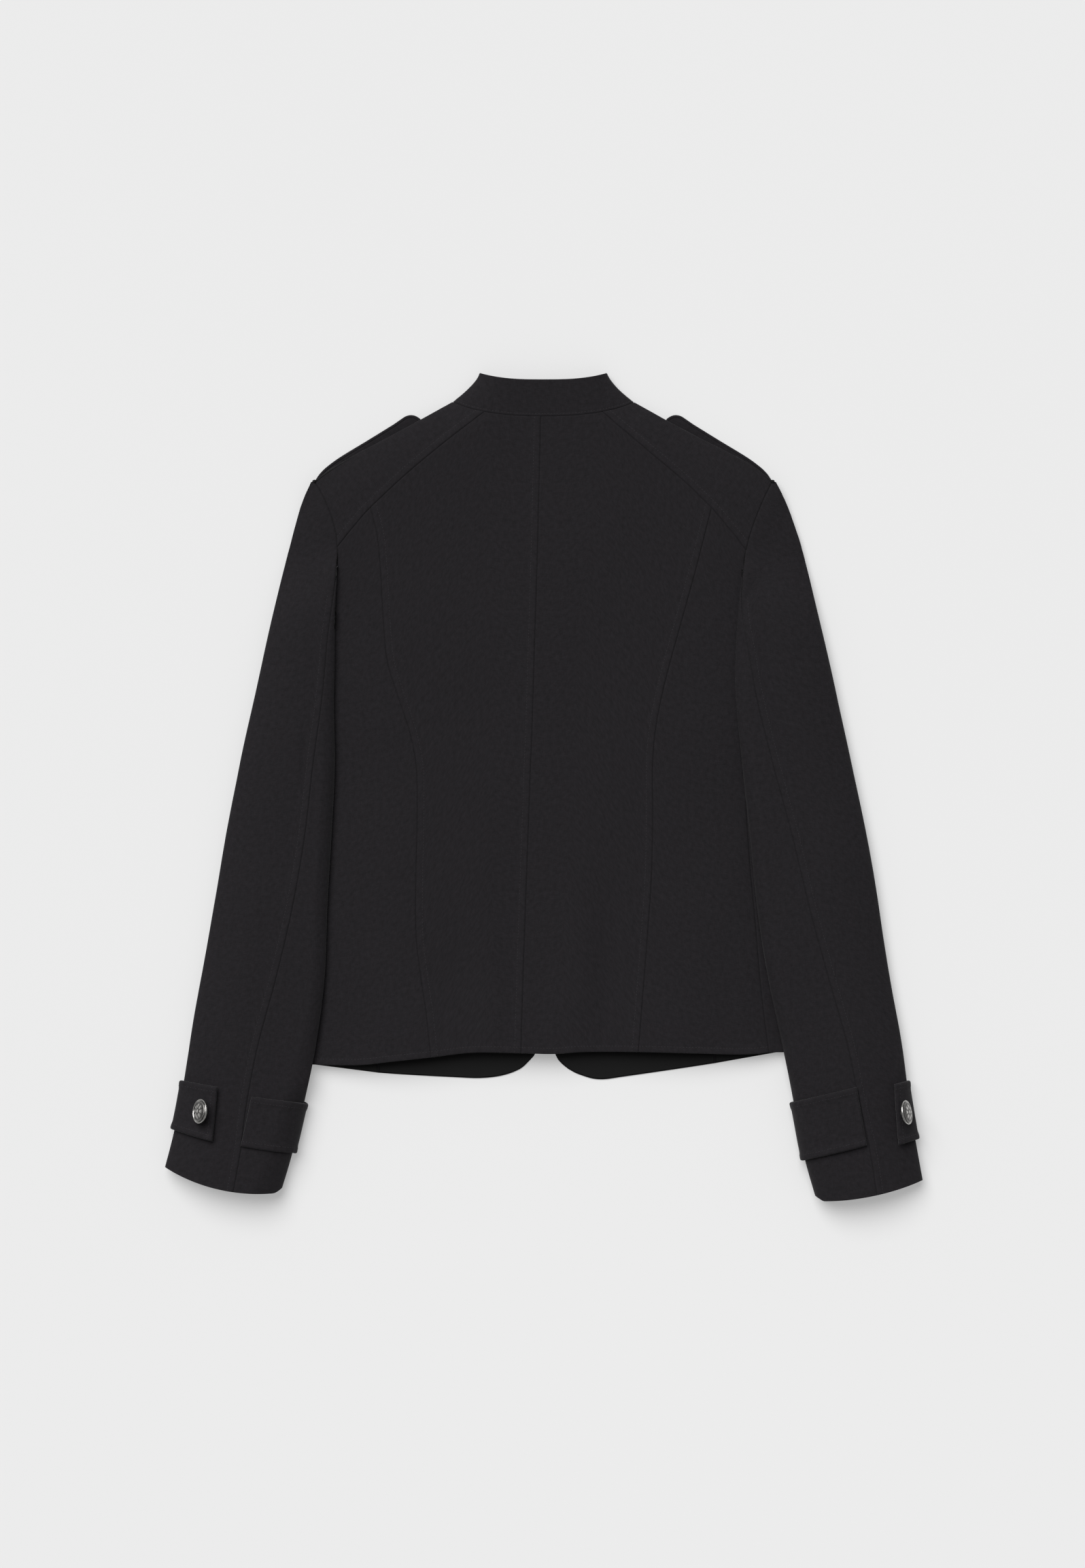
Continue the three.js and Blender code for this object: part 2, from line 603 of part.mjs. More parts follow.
// Makes one closed cloth wall from a grid of outer points with outward directions. inset draws the four edges
// in: [first column, last column, first row, last row].
function makeWall(grid, thickness, inset) {
  const columns = grid.length;
  const rows = grid[0].length;
  const at = (i, j) => grid[THREE.MathUtils.clamp(i, 0, columns - 1)][THREE.MathUtils.clamp(j, 0, rows - 1)];
  const drawn = grid.map((line, i) => line.map((cell, j) => {
    const p = cell.point.clone();
    const towards = (edge, a, b) => {
      const into = b.point.clone().sub(cell.point);
      const run = a[1].point.clone().sub(a[0].point).normalize();
      into.addScaledVector(run, -into.dot(run)).normalize();
      p.addScaledVector(into, inset[edge]);
    };
    if (i === 0) towards(0, [at(i, j - 1), at(i, j + 1)], at(1, j));
    if (i === columns - 1) towards(1, [at(i, j - 1), at(i, j + 1)], at(columns - 2, j));
    if (j === 0) towards(2, [at(i - 1, j), at(i + 1, j)], at(i, 1));
    if (j === rows - 1) towards(3, [at(i - 1, j), at(i + 1, j)], at(i, rows - 2));
    return p;
  }));

  const count = columns * rows;
  const positions = new Float32Array(count * 2 * 3);
  const wallAt = typeof thickness === 'function' ? thickness : () => thickness;
  for (let i = 0; i < columns; i += 1) {
    for (let j = 0; j < rows; j += 1) {
      const outer = drawn[i][j];
      const inner = outer.clone().addScaledVector(grid[i][j].normal, -wallAt(i, j));
      outer.toArray(positions, (i * rows + j) * 3);
      inner.toArray(positions, (count + i * rows + j) * 3);
    }
  }

  const index = [];
  const quad = (a, b, c, d) => index.push(a, b, c, a, c, d);
  const outerAt = (i, j) => i * rows + j;
  const innerAt = (i, j) => count + i * rows + j;
  for (let i = 0; i < columns - 1; i += 1) {
    for (let j = 0; j < rows - 1; j += 1) {
      quad(outerAt(i, j), outerAt(i + 1, j), outerAt(i + 1, j + 1), outerAt(i, j + 1));
      quad(innerAt(i, j), innerAt(i, j + 1), innerAt(i + 1, j + 1), innerAt(i + 1, j));
    }
    quad(outerAt(i + 1, 0), outerAt(i, 0), innerAt(i, 0), innerAt(i + 1, 0));
    quad(outerAt(i, rows - 1), outerAt(i + 1, rows - 1), innerAt(i + 1, rows - 1), innerAt(i, rows - 1));
  }
  for (let j = 0; j < rows - 1; j += 1) {
    quad(outerAt(0, j), outerAt(0, j + 1), innerAt(0, j + 1), innerAt(0, j));
    quad(outerAt(columns - 1, j + 1), outerAt(columns - 1, j), innerAt(columns - 1, j), innerAt(columns - 1, j + 1));
  }
  return closedGeometry(positions, index);
}

// Turns the faces outward if the body came out inside out
function closedGeometry(positions, index) {
  const a = new THREE.Vector3();
  const b = new THREE.Vector3();
  const c = new THREE.Vector3();
  let volume = 0;
  for (let k = 0; k < index.length; k += 3) {
    a.fromArray(positions, index[k] * 3);
    b.fromArray(positions, index[k + 1] * 3);
    c.fromArray(positions, index[k + 2] * 3);
    volume += a.dot(b.cross(c));
  }
  if (volume < 0) index.reverse();
  const geometry = new THREE.BufferGeometry();
  geometry.setAttribute('position', new THREE.BufferAttribute(positions, 3));
  geometry.setIndex(index);
  geometry.computeVertexNormals();
  return geometry;
}

// Patch in plan between four edges. top and bottom run along the columns, near and far down the rows.
function planPatch(top, bottom, near, far) {
  const parts = (points) => {
    const lengths = points.map((p, i) => (i === 0 ? 0 : p.distanceTo(points[i - 1])));
    let sum = 0;
    const running = lengths.map((length) => (sum += length));
    return running.map((length) => length / sum);
  };
  const topParts = parts(top);
  const bottomParts = parts(bottom);
  const nearParts = parts(near);
  const farParts = parts(far);
  const last = top.length - 1;
  const foot = near.length - 1;
  return top.map((unusedTop, i) => near.map((unusedNear, j) => {
    const u = mix(topParts[i], bottomParts[i], (nearParts[j] + farParts[j]) / 2);
    const v = mix(nearParts[j], farParts[j], (topParts[i] + bottomParts[i]) / 2);
    const lengthwise = mixPoint(top[i], bottom[i], v);
    const crosswise = mixPoint(near[j], far[j], u);
    const corners = mixPoint(mixPoint(top[0], top[last], u), mixPoint(near[foot], far[foot], u), v);
    return lengthwise.add(crosswise).sub(corners);
  }));
}

const evenly = (count, from, to) => Array.from({ length: count + 1 }, (unused, i) => mix(from, to, i / count));

// Materials

const cloth = new THREE.MeshStandardMaterial({ color: 0x252327, roughness: 0.9, side: THREE.DoubleSide });
const metal = new THREE.MeshStandardMaterial({ color: 0xb4b2ae, roughness: 0.35, metalness: 1 });

const coat = new THREE.Group();

function addPiece(name, geometry, material = cloth) {
  const mesh = new THREE.Mesh(geometry, material.clone());
  mesh.name = name;
  coat.add(mesh);
  return mesh;
}

// Shared edges

const backRowCount = 20;
const armholeRowCount = 6;
const sideRowCount = backRowCount - armholeRowCount;
const yokeSideColumns = 4;
const yokeBackColumns = 5;
const neckColumns = 3;
const sideColumnBend = 1.35;

function princessEdge(side) {
  const top = side.yokeSeam(yokePrincessRow);
  const foot = backHem(side.princess(backHemY));
  const edge = evenly(backRowCount, top.y, foot).map((y) => plan(side.princess(y), y));
  edge[0] = top;
  return edge;
}

function centreEdge() {
  const foot = backHem(centreSeam(backHemY));
  return evenly(backRowCount, neckSeamY(0), foot).map((y) => plan(centreSeam(y), y));
}

const sideSeamPoint = (side, y) => plan(side.sign * (side.fold(y) - side.seam(y)), y);

function sideSeamHeights(side) {
  const foot = backHem(side.sign * sideSeamHemOut);
  return evenly(sideRowCount, underarmY - sideSeamDrop, foot);
}

// Yoke seam columns, from the armhole to the princess seam and on to the neck
const yokeSideRows = evenly(yokeSideColumns, 0, yokePrincessRow);
const yokeBackRows = evenly(yokeBackColumns, yokePrincessRow, yokeNeckRow);
const yokeRows = [...yokeSideRows, ...yokeBackRows.slice(1)];

const neckEdge = (side) => evenly(neckColumns, neckSeam.yokeCorner, 0).map((out) => {
  const x = out === 0 ? centreSeam(neckSeam.y) : side.sign * out;
  return plan(x, neckSeamY(out));
});

// Sleeve armhole edge in plan, on top and below
const armholeTop = (side, row) => {
  const p = sleevePosition(side, row, 0, 'upper');
  return plan(p.x, p.y);
};
const armholeUnder = (side, row) => {
  const p = sleevePosition(side, row, 2 - turnOfDistance(side, row, side.sleeve.frontArm(row)), 'upper');
  return plan(p.x, p.y);
};

// Neckline: along the back seam on top, and along a quarter ellipse below
const neckTop = (side, row) => {
  const out = mix(neckSeam.yokeCorner, neckSeam.corner, 1 - row / yokeSeamSection);
  return plan(side.sign * out, neckSeamY(out));
};
function neckUnder(side, angle) {
  const middle = frontNeck.middle;
  const reach = neckSeam.corner - side.sign * middle;
  const x = middle + side.sign * reach * Math.cos(angle);
  return plan(x, neckSeamY(neckSeam.corner) - frontNeck.depth * Math.sin(angle));
}
const neckAngleOfRow = (row) => (row * frontNeck.rowLength) / frontNeck.depth;

// Back panels

function backGrid(side) {
  const top = [...yokeBackRows.map((row) => side.yokeSeam(row)), ...neckEdge(side).slice(1)];
  const near = princessEdge(side);
  const far = centreEdge();
  const bottom = evenly(top.length - 1, near[backRowCount].x, far[backRowCount].x).map((x) => plan(x, backHem(x)));
  return planPatch(top, bottom, near, far).map((line) => line.map(topPoint));
}

function backSideGrid(side) {
  const top = yokeSideRows.map((row) => side.yokeSeam(row));
  const lastRow = backArmholeRows[side.name].length - 1;
  const armhole = evenly(armholeRowCount, 0, lastRow).map((row) => side.backArmhole(row));
  const heights = sideSeamHeights(side);
  armhole[armholeRowCount] = sideSeamPoint(side, heights[0]);
  const near = [...armhole, ...heights.slice(1).map((y) => sideSeamPoint(side, y))];
  const far = princessEdge(side);
  const spread = top.map((p, i) => (i / yokeSideColumns) ** sideColumnBend);
  const bottom = spread.map((t) => {
    const x = mix(near[backRowCount].x, far[backRowCount].x, t);
    return plan(x, backHem(x));
  });
  bottom[0] = near[backRowCount];
  return planPatch(top, bottom, near, far).map((line) => line.map(topPoint));
}

// Shoulder yokes: over the fold and a little way down the front

const yokeTopRows = [...headRows].reverse();
const yokeUnderRows = headRows.filter((row) => row <= yokeFrontRow);

function yokeGrid(side) {
  const bottom = yokeRows.map((row) => side.yokeSeam(row));
  const ridge = yokeRows.map((row) => {
    const part = row / yokeNeckRow;
    const out = mix(shoulderPoint.out, neckSeam.corner, part);
    return plan(side.sign * out, shoulderY(out));
  });
  const near = [...yokeTopRows.map((row) => armholeTop(side, row)), armholeTop(side, 0)];
  const far = [...yokeTopRows.map((row) => neckTop(side, row)), neckTop(side, 0)];
  near[near.length - 1] = ridge[0];
  ridge[ridge.length - 1] = far[far.length - 1];
  const patch = planPatch(bottom, ridge, near, far);
  const away = new THREE.Vector3(side.sign * shoulderRun.up, shoulderRun.along, 0);
  return patch.map((line, i) => {
    const part = yokeRows[i] / yokeNeckRow;
    const cells = line.map((p, j) => {
      if (j < line.length - 1) return topPoint(p);
      return { point: new THREE.Vector3(p.x, p.y, midHeight(p.x, p.y)), normal: away };
    });
    for (const row of yokeUnderRows) {
      const atArm = armholeUnder(side, row).sub(ridge[0]);
      const atNeck = neckUnder(side, neckAngleOfRow(row)).sub(ridge[ridge.length - 1]);
      const p = ridge[i].clone().add(atArm.lerp(atNeck, part));
      cells.push(underPoint(p));
    }
    return cells;
  });
}

// Fronts, under the back

const frontHemCells = 7;

function frontSeamPoints(side) {
  const top = armholeUnder(side, frontSeamTop);
  const foot = side.frontHem(frontSeamHemRow);
  const bend = plan(side.sign * frontSeamBend.out, frontSeamBend.y);
  const points = [];
  for (let j = 0; j <= frontHemCells; j += 1) {
    const t = j / frontHemCells;
    const y = mix(top.y, foot.y, t);
    const u = clamp01((top.y - y) / (top.y - bend.y));
    const x = u < 1 ? mix(top.x, bend.x, 1 - (1 - u) ** 2) : mix(bend.x, foot.x, (bend.y - y) / (bend.y - foot.y));
    points.push(plan(x, y));
  }
  return points;
}

function frontGrid(side, yoke) {
  const yokeEdge = yoke.map((line) => plan(line[line.length - 1].point.x, line[line.length - 1].point.y));
  const startAngle = neckAngleOfRow(yokeFrontRow);
  const neck = evenly(neckColumns + 1, startAngle, Math.PI / 2).map((angle) => neckUnder(side, angle));
  const top = [...yokeEdge, ...neck.slice(1)];
  const armRows = [...headRows.filter((row) => row >= yokeFrontRow), underSleeveStart, frontSeamTop];
  const near = [...armRows.map((row) => armholeUnder(side, row)), ...frontSeamPoints(side).slice(1)];
  const lastRow = frontHemRows[side.name].length - 1;
  const roundRows = [lastRow, lastRow - 1, lastRow - 2, lastRow - 3, frontCornerRow];
  const straight = near.length - roundRows.length;
  const edgeTop = neck[neck.length - 1];
  const edgeFoot = side.frontHem(lastRow);
  const far = [
    ...evenly(straight, 0, 1).slice(0, -1).map((t) => mixPoint(edgeTop, edgeFoot, t)),
    ...roundRows.map((row) => side.frontHem(row)),
  ];
  const bottom = evenly(top.length - 1, frontSeamHemRow, frontCornerRow).map((row) => side.frontHem(row));
  return planPatch(top, bottom, near, far).map((line) => line.map(underPoint));
}

// Side fronts: from the side seam on the back round the fold to the front seam

const sideFrontTop = { depth: 14, rise: 18, bend: 1.2 };
const sideFrontColumns = {
  left: [1, 0.3],
  right: [1, 0.6, 0.3, 0.1],
  underDepths: [0.8, 3, 8, sideFrontTop.depth],
  flatParts: [0.5, 1],
};

function sideFrontGrid(side) {
  const heights = sideSeamHeights(side);
  const seam = frontSeamPoints(side);
  const seamAt = (j) => {
    const at = (j / sideRowCount) * frontHemCells;
    const low = Math.min(frontHemCells - 1, Math.floor(at));
    return mixPoint(seam[low], seam[low + 1], at - low);
  };
  const frontHemY = track(frontHemRows[side.name], 'out', 'y');
  const armCurve = (depth) => heights[0] + sideFrontTop.rise * (depth / sideFrontTop.depth) ** sideFrontTop.bend;
  const columns = [];
  for (const part of sideFrontColumns[side.name]) {
    columns.push(heights.map((y) => sidePoint(side, y, wrapOfDepth(side.seam(y) * part))));
  }
  columns.push(heights.map((y) => sidePoint(side, y, 0)));
  const last = sideRowCount;
  for (const depth of sideFrontColumns.underDepths) {
    const frontFoot = frontHemY(side.fold(heights[last]) - depth);
    const foot = mix(heights[last], frontFoot, depth / sideFrontTop.depth);
    const start = armCurve(depth);
    columns.push(heights.map((y, j) => sidePoint(side, mix(start, foot, j / last), -wrapOfDepth(depth))));
  }
  const flat = (p) => ({ point: p, normal: new THREE.Vector3(0, 0, -1) });
  const inner = columns[columns.length - 1].map((cell) => cell.point);
  for (const part of sideFrontColumns.flatParts) {
    columns.push(inner.map((p, j) => flat(mixPoint(p, seamAt(j), part).setZ(0))));
  }
  return columns;
}

// Stand collar: one band from the front edge, round both folds, to the other front edge

function collarRing(side, yoke) {
  const ring = [];
  const corner = neckTop(side, 0);
  const startAngle = neckAngleOfRow(yokeFrontRow);
  const frontAngles = evenly(neckColumns + 1, Math.PI / 2, startAngle);
  for (const angle of frontAngles.slice(0, -1)) {
    const p = neckUnder(side, angle);
    ring.push({ seam: p.setZ(bodyUnder(p.x, p.y)), under: true, angle });
  }
  const edge = yoke[yoke.length - 1].map((cell) => cell.point.clone());
  edge.reverse();
  const foldAt = yokeUnderRows.length;
  edge.forEach((p, j) => {
    const distance = Math.hypot(p.x - corner.x, p.y - corner.y);
    ring.push({ seam: p, under: j < foldAt, distance });
  });
  for (const p of neckEdge(side).slice(1)) {
    p.z = bodyTop(p.x, p.y);
    ring.push({ seam: p, under: false, distance: Math.hypot(p.x - corner.x, p.y - corner.y) });
  }
  const reach = ring[ring.length - 1].distance;
  for (const entry of ring) {
    entry.top = collarTopPoint(side, entry, reach);
  }
  return ring;
}

function collarTopPoint(side, entry, reach) {
  const shape = collarTop;
  const scale = shape.corner / neckSeam.corner;
  if (entry.under) {
    const angle = entry.angle ?? entry.distance / frontNeck.depth;
    const middle = frontNeck.middle;
    const x = middle + side.sign * (shape.corner - side.sign * middle) * Math.cos(angle);
    const y = shape.cornerY - shape.frontDepth * Math.sin(angle);
    const depth = entry.angle === undefined ? entry.distance * scale : foldFoot;
    return new THREE.Vector3(x, y, shape.foldZ * (1 - roundOff(depth / foldFoot)));
  }
  const part = entry.distance / reach;
  const x = mix(side.sign * shape.corner, centreSeam(neckSeam.y), part);
  const u = Math.abs(x) / shape.corner;
  const depth = entry.distance * scale;
  const z = shape.foldZ + (shape.z - shape.foldZ) * roundOff(depth / shape.rounding);
  return new THREE.Vector3(x, shape.y + shape.rise * u ** 3, z);
}

function collarGrid(yokes) {
  const ringLeft = collarRing(left, yokes.left);
  const ringRight = collarRing(right, yokes.right);
  const ring = [...ringLeft, ...ringRight.slice(0, -1).reverse()];
  const points = ring.map((entry) => evenly(collarFlare.rows, 0, 1).map((v) => {
    const p = mixPoint(entry.seam, entry.top, v);
    const flare = (neckSeam.corner - collarTop.corner) * ((1 - v) ** collarFlare.bend - (1 - v));
    const nearFold = clamp01(Math.abs(p.x) / mix(neckSeam.corner, collarTop.corner, v)) ** 2;
    p.x += Math.sign(p.x) * flare * nearFold;
    return p;
  }));
  const last = points.length - 1;
  return points.map((line, i) => line.map((point, j) => {
    const a = points[Math.max(0, i - 1)][j];
    const b = points[Math.min(last, i + 1)][j];
    const c = line[Math.max(0, j - 1)];
    const d = line[Math.min(line.length - 1, j + 1)];
    const under = ring[i].under;
    const sideways = Math.abs(point.x) > collarFlare.sideOut ? Math.sign(point.x) : 0;
    const towards = new THREE.Vector3(sideways, sideways === 0 ? 0 : 0.6, under ? -1.2 : 1.2);
    return { point, normal: crossNormal(a, b, c, d, towards) };
  }));
}

// Sleeves

const upperColumns = 11;
const underColumns = 12;
const foldWallColumns = 2;
const upperRows = [...headRows, ...lowerRows];

function upperSleeveGrid(side) {
  const lines = upperRows.map((row) => {
    const start = row < underSleeveStart ? 0 : turnOfDistance(side, row, side.sleeve.backSeam(row));
    const end = 2 - turnOfDistance(side, row, side.sleeve.frontArm(row));
    return evenly(upperColumns, start, end).map((turn) => sleevePoint(side, row, turn, 'upper'));
  });
  return lines[0].map((unused, i) => lines.map((line) => line[i]));
}

function underSleeveGrid(side) {
  const lines = lowerRows.map((row) => {
    const start = turnOfDistance(side, row, side.sleeve.backSeam(row));
    const end = -turnOfDistance(side, row, side.sleeve.backArm(row));
    const turns = underTurns(start, end);
    return turns.map((turn) => sleevePoint(side, row, turn, 'under'));
  });
  return lines[0].map((unused, i) => lines.map((line) => line[i]));
}

// Columns of the under sleeve, always with one on the fold itself
function underTurns(start, end) {
  const half = underColumns / 2;
  const above = evenly(half, start, 0);
  const below = evenly(half, 0, end);
  return [...above, ...below.slice(1)];
}

function addSleeve(side) {
  const upper = upperSleeveGrid(side);
  const upperWall = (i, j) => mix(pointWall, clothWall, ease(upperRows[j]));
  addPiece(`sleeve_${side.name}_upper`, makeWall(upper, upperWall, [seamInset, seamInset, 0, 0]));
  const under = underSleeveGrid(side);
  const fold = underColumns / 2;
  const underWall = (i) => mix(clothWall, foldWall, Math.max(0, 1 - Math.abs(i - fold) / foldWallColumns));
  addPiece(`sleeve_${side.name}_under`, makeWall(under, underWall, [seamInset, seamInset, 0, 0]));
}

// Cuff straps: from the back seam over the inner fold, below the cuff and up round the outer fold

function strapGrid(side) {
  const strap = cuffStraps[side.name];
  const middleRow = (strap.seamTop + strap.seamFoot) / 2;
  const start = turnOfDistance(side, middleRow, side.sleeve.backSeam(middleRow) - strapSeamGap);
  return evenly(strapColumns, 0, 1).map((t) => {
    const rise = Math.max(0, 1 - t / strapRiseShare);
    const rowTop = mix(strap.seamTop, strap.endTop, t) - strap.topRise * rise;
    const rowFoot = mix(strap.seamFoot, strap.endFoot, t) - strap.footRise * rise;
    return evenly(strapRowCount, 0, 1).map((v) => {
      const row = mix(rowTop, rowFoot, v);
      const end = turnOfPart(mix(strap.end, strap.footEnd, v)) - 2;
      const turn = mix(start, end, t);
      const tip = ease(1 - (turn - end) / strapTipLength);
      const lift = strapGap + strapWall + strap.tipLift * tip;
      const cell = sleevePoint(side, row, turn, 'ring');
      return { point: cell.point.clone().addScaledVector(cell.normal, lift), normal: cell.normal };
    });
  });
}

// Cuff buttons: a domed disc with a raised rim on a short shank

function buttonGeometry() {
  const b = buttonShape;
  const profile = [
    new THREE.Vector2(0, 0),
    new THREE.Vector2(b.shankRadius, 0),
    new THREE.Vector2(b.shankRadius, b.shankLength),
    new THREE.Vector2(buttonRadius - b.edge, b.shankLength),
    new THREE.Vector2(buttonRadius, b.shankLength + b.edgeHeight),
    new THREE.Vector2(buttonRadius, b.shankLength + b.rimHeight),
    new THREE.Vector2(buttonRadius - b.rim, b.shankLength + b.rimHeight + b.rimRise),
  ];
  const domeRadius = buttonRadius - b.rim - b.groove;
  const domeFoot = b.shankLength + b.rimHeight - b.rimRise;
  for (let k = 0; k <= b.domeSteps; k += 1) {
    const part = k / b.domeSteps;
    const height = domeFoot + (b.crown - b.rimHeight) * Math.sin((part * Math.PI) / 2);
    profile.push(new THREE.Vector2(domeRadius * (1 - part), height));
  }
  return new THREE.LatheGeometry(profile, b.turns);
}

function addButton(side) {
  const place = cuffButtons[side.name];
  const seat = sleevePoint(side, place.row, turnOfPart(place.part), 'ring');
  const strap = cuffStraps[side.name];
  const end = turnOfPart((strap.end + strap.footEnd) / 2);
  const tip = ease(1 - (turnOfPart(place.part) - end) / strapTipLength);
  const lift = strapGap + strapWall + strap.tipLift * tip;
  const s = side.sleeve;
  const across = new THREE.Vector3(side.sign * (s.outer(place.row) - s.inner(place.row)),
    s.outerY(place.row) - s.innerY(place.row), 0).normalize();
  const tilt = THREE.MathUtils.degToRad(place.tilt);
  const axis = across.multiplyScalar(Math.sin(tilt)).add(new THREE.Vector3(0, 0, Math.cos(tilt))).normalize();
  const seatAngle = Math.acos(THREE.MathUtils.clamp(axis.dot(seat.normal), -1, 1));
  const footLift = lift + place.lift + buttonShape.shankRadius * Math.sin(seatAngle);
  const button = addPiece(`cuff_button_${side.name}`, buttonGeometry(), metal);
  button.quaternion.setFromUnitVectors(new THREE.Vector3(0, 1, 0), axis);
  button.position.copy(seat.point).addScaledVector(seat.normal, footLift);
}

// Shoulder straps

function epauletteGeometry() {
  const e = epaulette;
  const shape = new THREE.Shape();
  shape.moveTo(e.start, e.footStart);
  for (const point of epauletteEdge) {
    shape.lineTo(point.along, point.stand);
  }
  shape.lineTo(e.length - e.corner - e.endInset, e.stand);
  shape.quadraticCurveTo(e.length - e.endInset, e.stand, e.length, e.stand - e.corner);
  shape.lineTo(e.length, e.foot + e.corner);
  shape.quadraticCurveTo(e.length, e.foot, e.length - e.corner, e.foot);
  shape.closePath();
  return new THREE.ExtrudeGeometry(shape, { depth: epauletteWall, bevelEnabled: false, curveSegments: 5 });
}

function addEpaulette(side) {
  const geometry = epauletteGeometry();
  const strap = addPiece(`epaulette_${side.name}`, geometry);
  const along = new THREE.Vector3(-side.sign * shoulderRun.along, shoulderRun.up, 0);
  const away = new THREE.Vector3(side.sign * shoulderRun.up, shoulderRun.along, 0);
  const up = along.clone().cross(away);
  strap.quaternion.setFromRotationMatrix(new THREE.Matrix4().makeBasis(along, away, up));
  strap.position.set(side.sign * shoulderPoint.out, shoulderPoint.y, up.z < 0 ? epauletteWall : 0);
}

// The whole coat

const yokes = { left: yokeGrid(left), right: yokeGrid(right) };

for (const side of sides) {
  const yoke = yokes[side.name];
  const all = [seamInset, seamInset, seamInset, seamInset];
  const aboveHem = [seamInset, seamInset, seamInset, 0];
  const backSide = [sideSeamInset, seamInset, seamInset, 0];
  const frontSide = [sideSeamInset, seamInset, looseInset, 0];
  addPiece(`back_${side.name}`, makeWall(backGrid(side), clothWall, aboveHem));
  addPiece(`back_side_${side.name}`, makeWall(backSideGrid(side), clothWall, backSide));
  addPiece(`yoke_${side.name}`, makeWall(yoke, clothWall, all));
  addPiece(`front_side_${side.name}`, makeWall(sideFrontGrid(side), clothWall, frontSide));
  addPiece(`front_${side.name}`, makeWall(frontGrid(side, yoke), clothWall, all));
  addSleeve(side);
  addPiece(`cuff_tab_${side.name}`, makeWall(strapGrid(side), strapWall, [0, 0, 0, 0]));
  addButton(side);
  addEpaulette(side);
}
addPiece('collar_stand', makeWall(collarGrid(yokes), collarWall, [seamInset, seamInset, looseInset, 0]));

// Stands the origin below the middle of the whole coat
coat.updateMatrixWorld(true);
const extent = new THREE.Box3().setFromObject(coat, true);
const middle = extent.getCenter(new THREE.Vector3());
coat.position.set(-middle.x, -middle.y, -extent.min.z);

export default coat;
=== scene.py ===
# A short black blazer laid flat on its front, its back up: a thin cloth shell on the form of each solid.
# Tables are in millimetres, in the frame of the part's source; toMetres brings points to the scene.
import bpy
import numpy as np
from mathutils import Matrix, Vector


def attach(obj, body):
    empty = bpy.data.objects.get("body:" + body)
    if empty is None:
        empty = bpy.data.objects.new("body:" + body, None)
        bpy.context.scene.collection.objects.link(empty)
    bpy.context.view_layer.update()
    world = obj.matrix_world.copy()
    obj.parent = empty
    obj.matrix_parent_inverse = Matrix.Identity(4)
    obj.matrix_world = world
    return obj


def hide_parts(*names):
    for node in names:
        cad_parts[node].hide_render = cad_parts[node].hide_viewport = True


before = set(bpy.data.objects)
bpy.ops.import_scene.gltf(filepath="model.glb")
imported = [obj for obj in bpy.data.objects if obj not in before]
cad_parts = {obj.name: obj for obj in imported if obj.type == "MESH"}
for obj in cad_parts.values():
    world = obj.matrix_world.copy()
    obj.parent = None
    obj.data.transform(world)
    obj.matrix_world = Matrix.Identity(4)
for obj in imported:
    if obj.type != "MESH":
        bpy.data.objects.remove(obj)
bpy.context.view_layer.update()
print("frame:", len(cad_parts), "solids")

coatShift = np.array([-0.3298, -0.55, 0.0156])  # where the tables' origin lies in the scene


def toMetres(points):
    return (points + coatShift) / 1000


# Small curves

def mix(a, b, t):
    return a + (b - a) * t


def ease(t):
    t = np.clip(t, 0, 1)
    return t * t * (3 - 2 * t)


def softEase(t):
    # Like ease, and its slope sets in without a crease
    t = np.clip(t, 0, 1)
    return t**3 * (10 - 15 * t + 6 * t * t)


foldPower = 1.6  # how full the outline of a soft fold is


def roundOff(t):
    # The outline of a soft fold, steep at 0 and level at 1: (1 - (1 - t)^p)^(1/p)
    return (1 - (1 - np.clip(t, 0, 1)) ** foldPower) ** (1 / foldPower)


def track(keys, values):
    # A cubic between neighbours, with the slope of the line between the pairs on each side, and straight on
    # beyond both ends
    keys, values = np.array(keys, float), np.array(values, float)
    if keys[0] > keys[-1]:
        keys, values = keys[::-1], values[::-1]
    low = np.maximum(np.arange(len(keys)) - 1, 0)
    high = np.minimum(np.arange(len(keys)) + 1, len(keys) - 1)
    slopes = (values[high] - values[low]) / (keys[high] - keys[low])

    def curve(at):
        at = np.asarray(at, float)
        i = np.clip(np.searchsorted(keys, at) - 1, 0, len(keys) - 2)
        span = keys[i + 1] - keys[i]
        inside = np.clip(at, keys[0], keys[-1])
        t = (inside - keys[i]) / span
        ends = np.where(at < keys[0], slopes[0], slopes[-1]) * (at - inside)
        return (values[i] * (2 * t**3 - 3 * t**2 + 1) + slopes[i] * span * (t**3 - 2 * t**2 + t)
                + values[i + 1] * (3 * t**2 - 2 * t**3) + slopes[i + 1] * span * (t**3 - t**2) + ends)
    return curve


def byRow(columns, name):
    # A column of a table as a smooth curve over the running row number
    return track(range(len(columns[name])), columns[name])


def stack(*parts):
    return np.stack(np.broadcast_arrays(*parts), axis=-1)


def unit(v):
    return v / np.maximum(np.linalg.norm(v, axis=-1, keepdims=True), 1e-9)


# Outlines of the laid coat

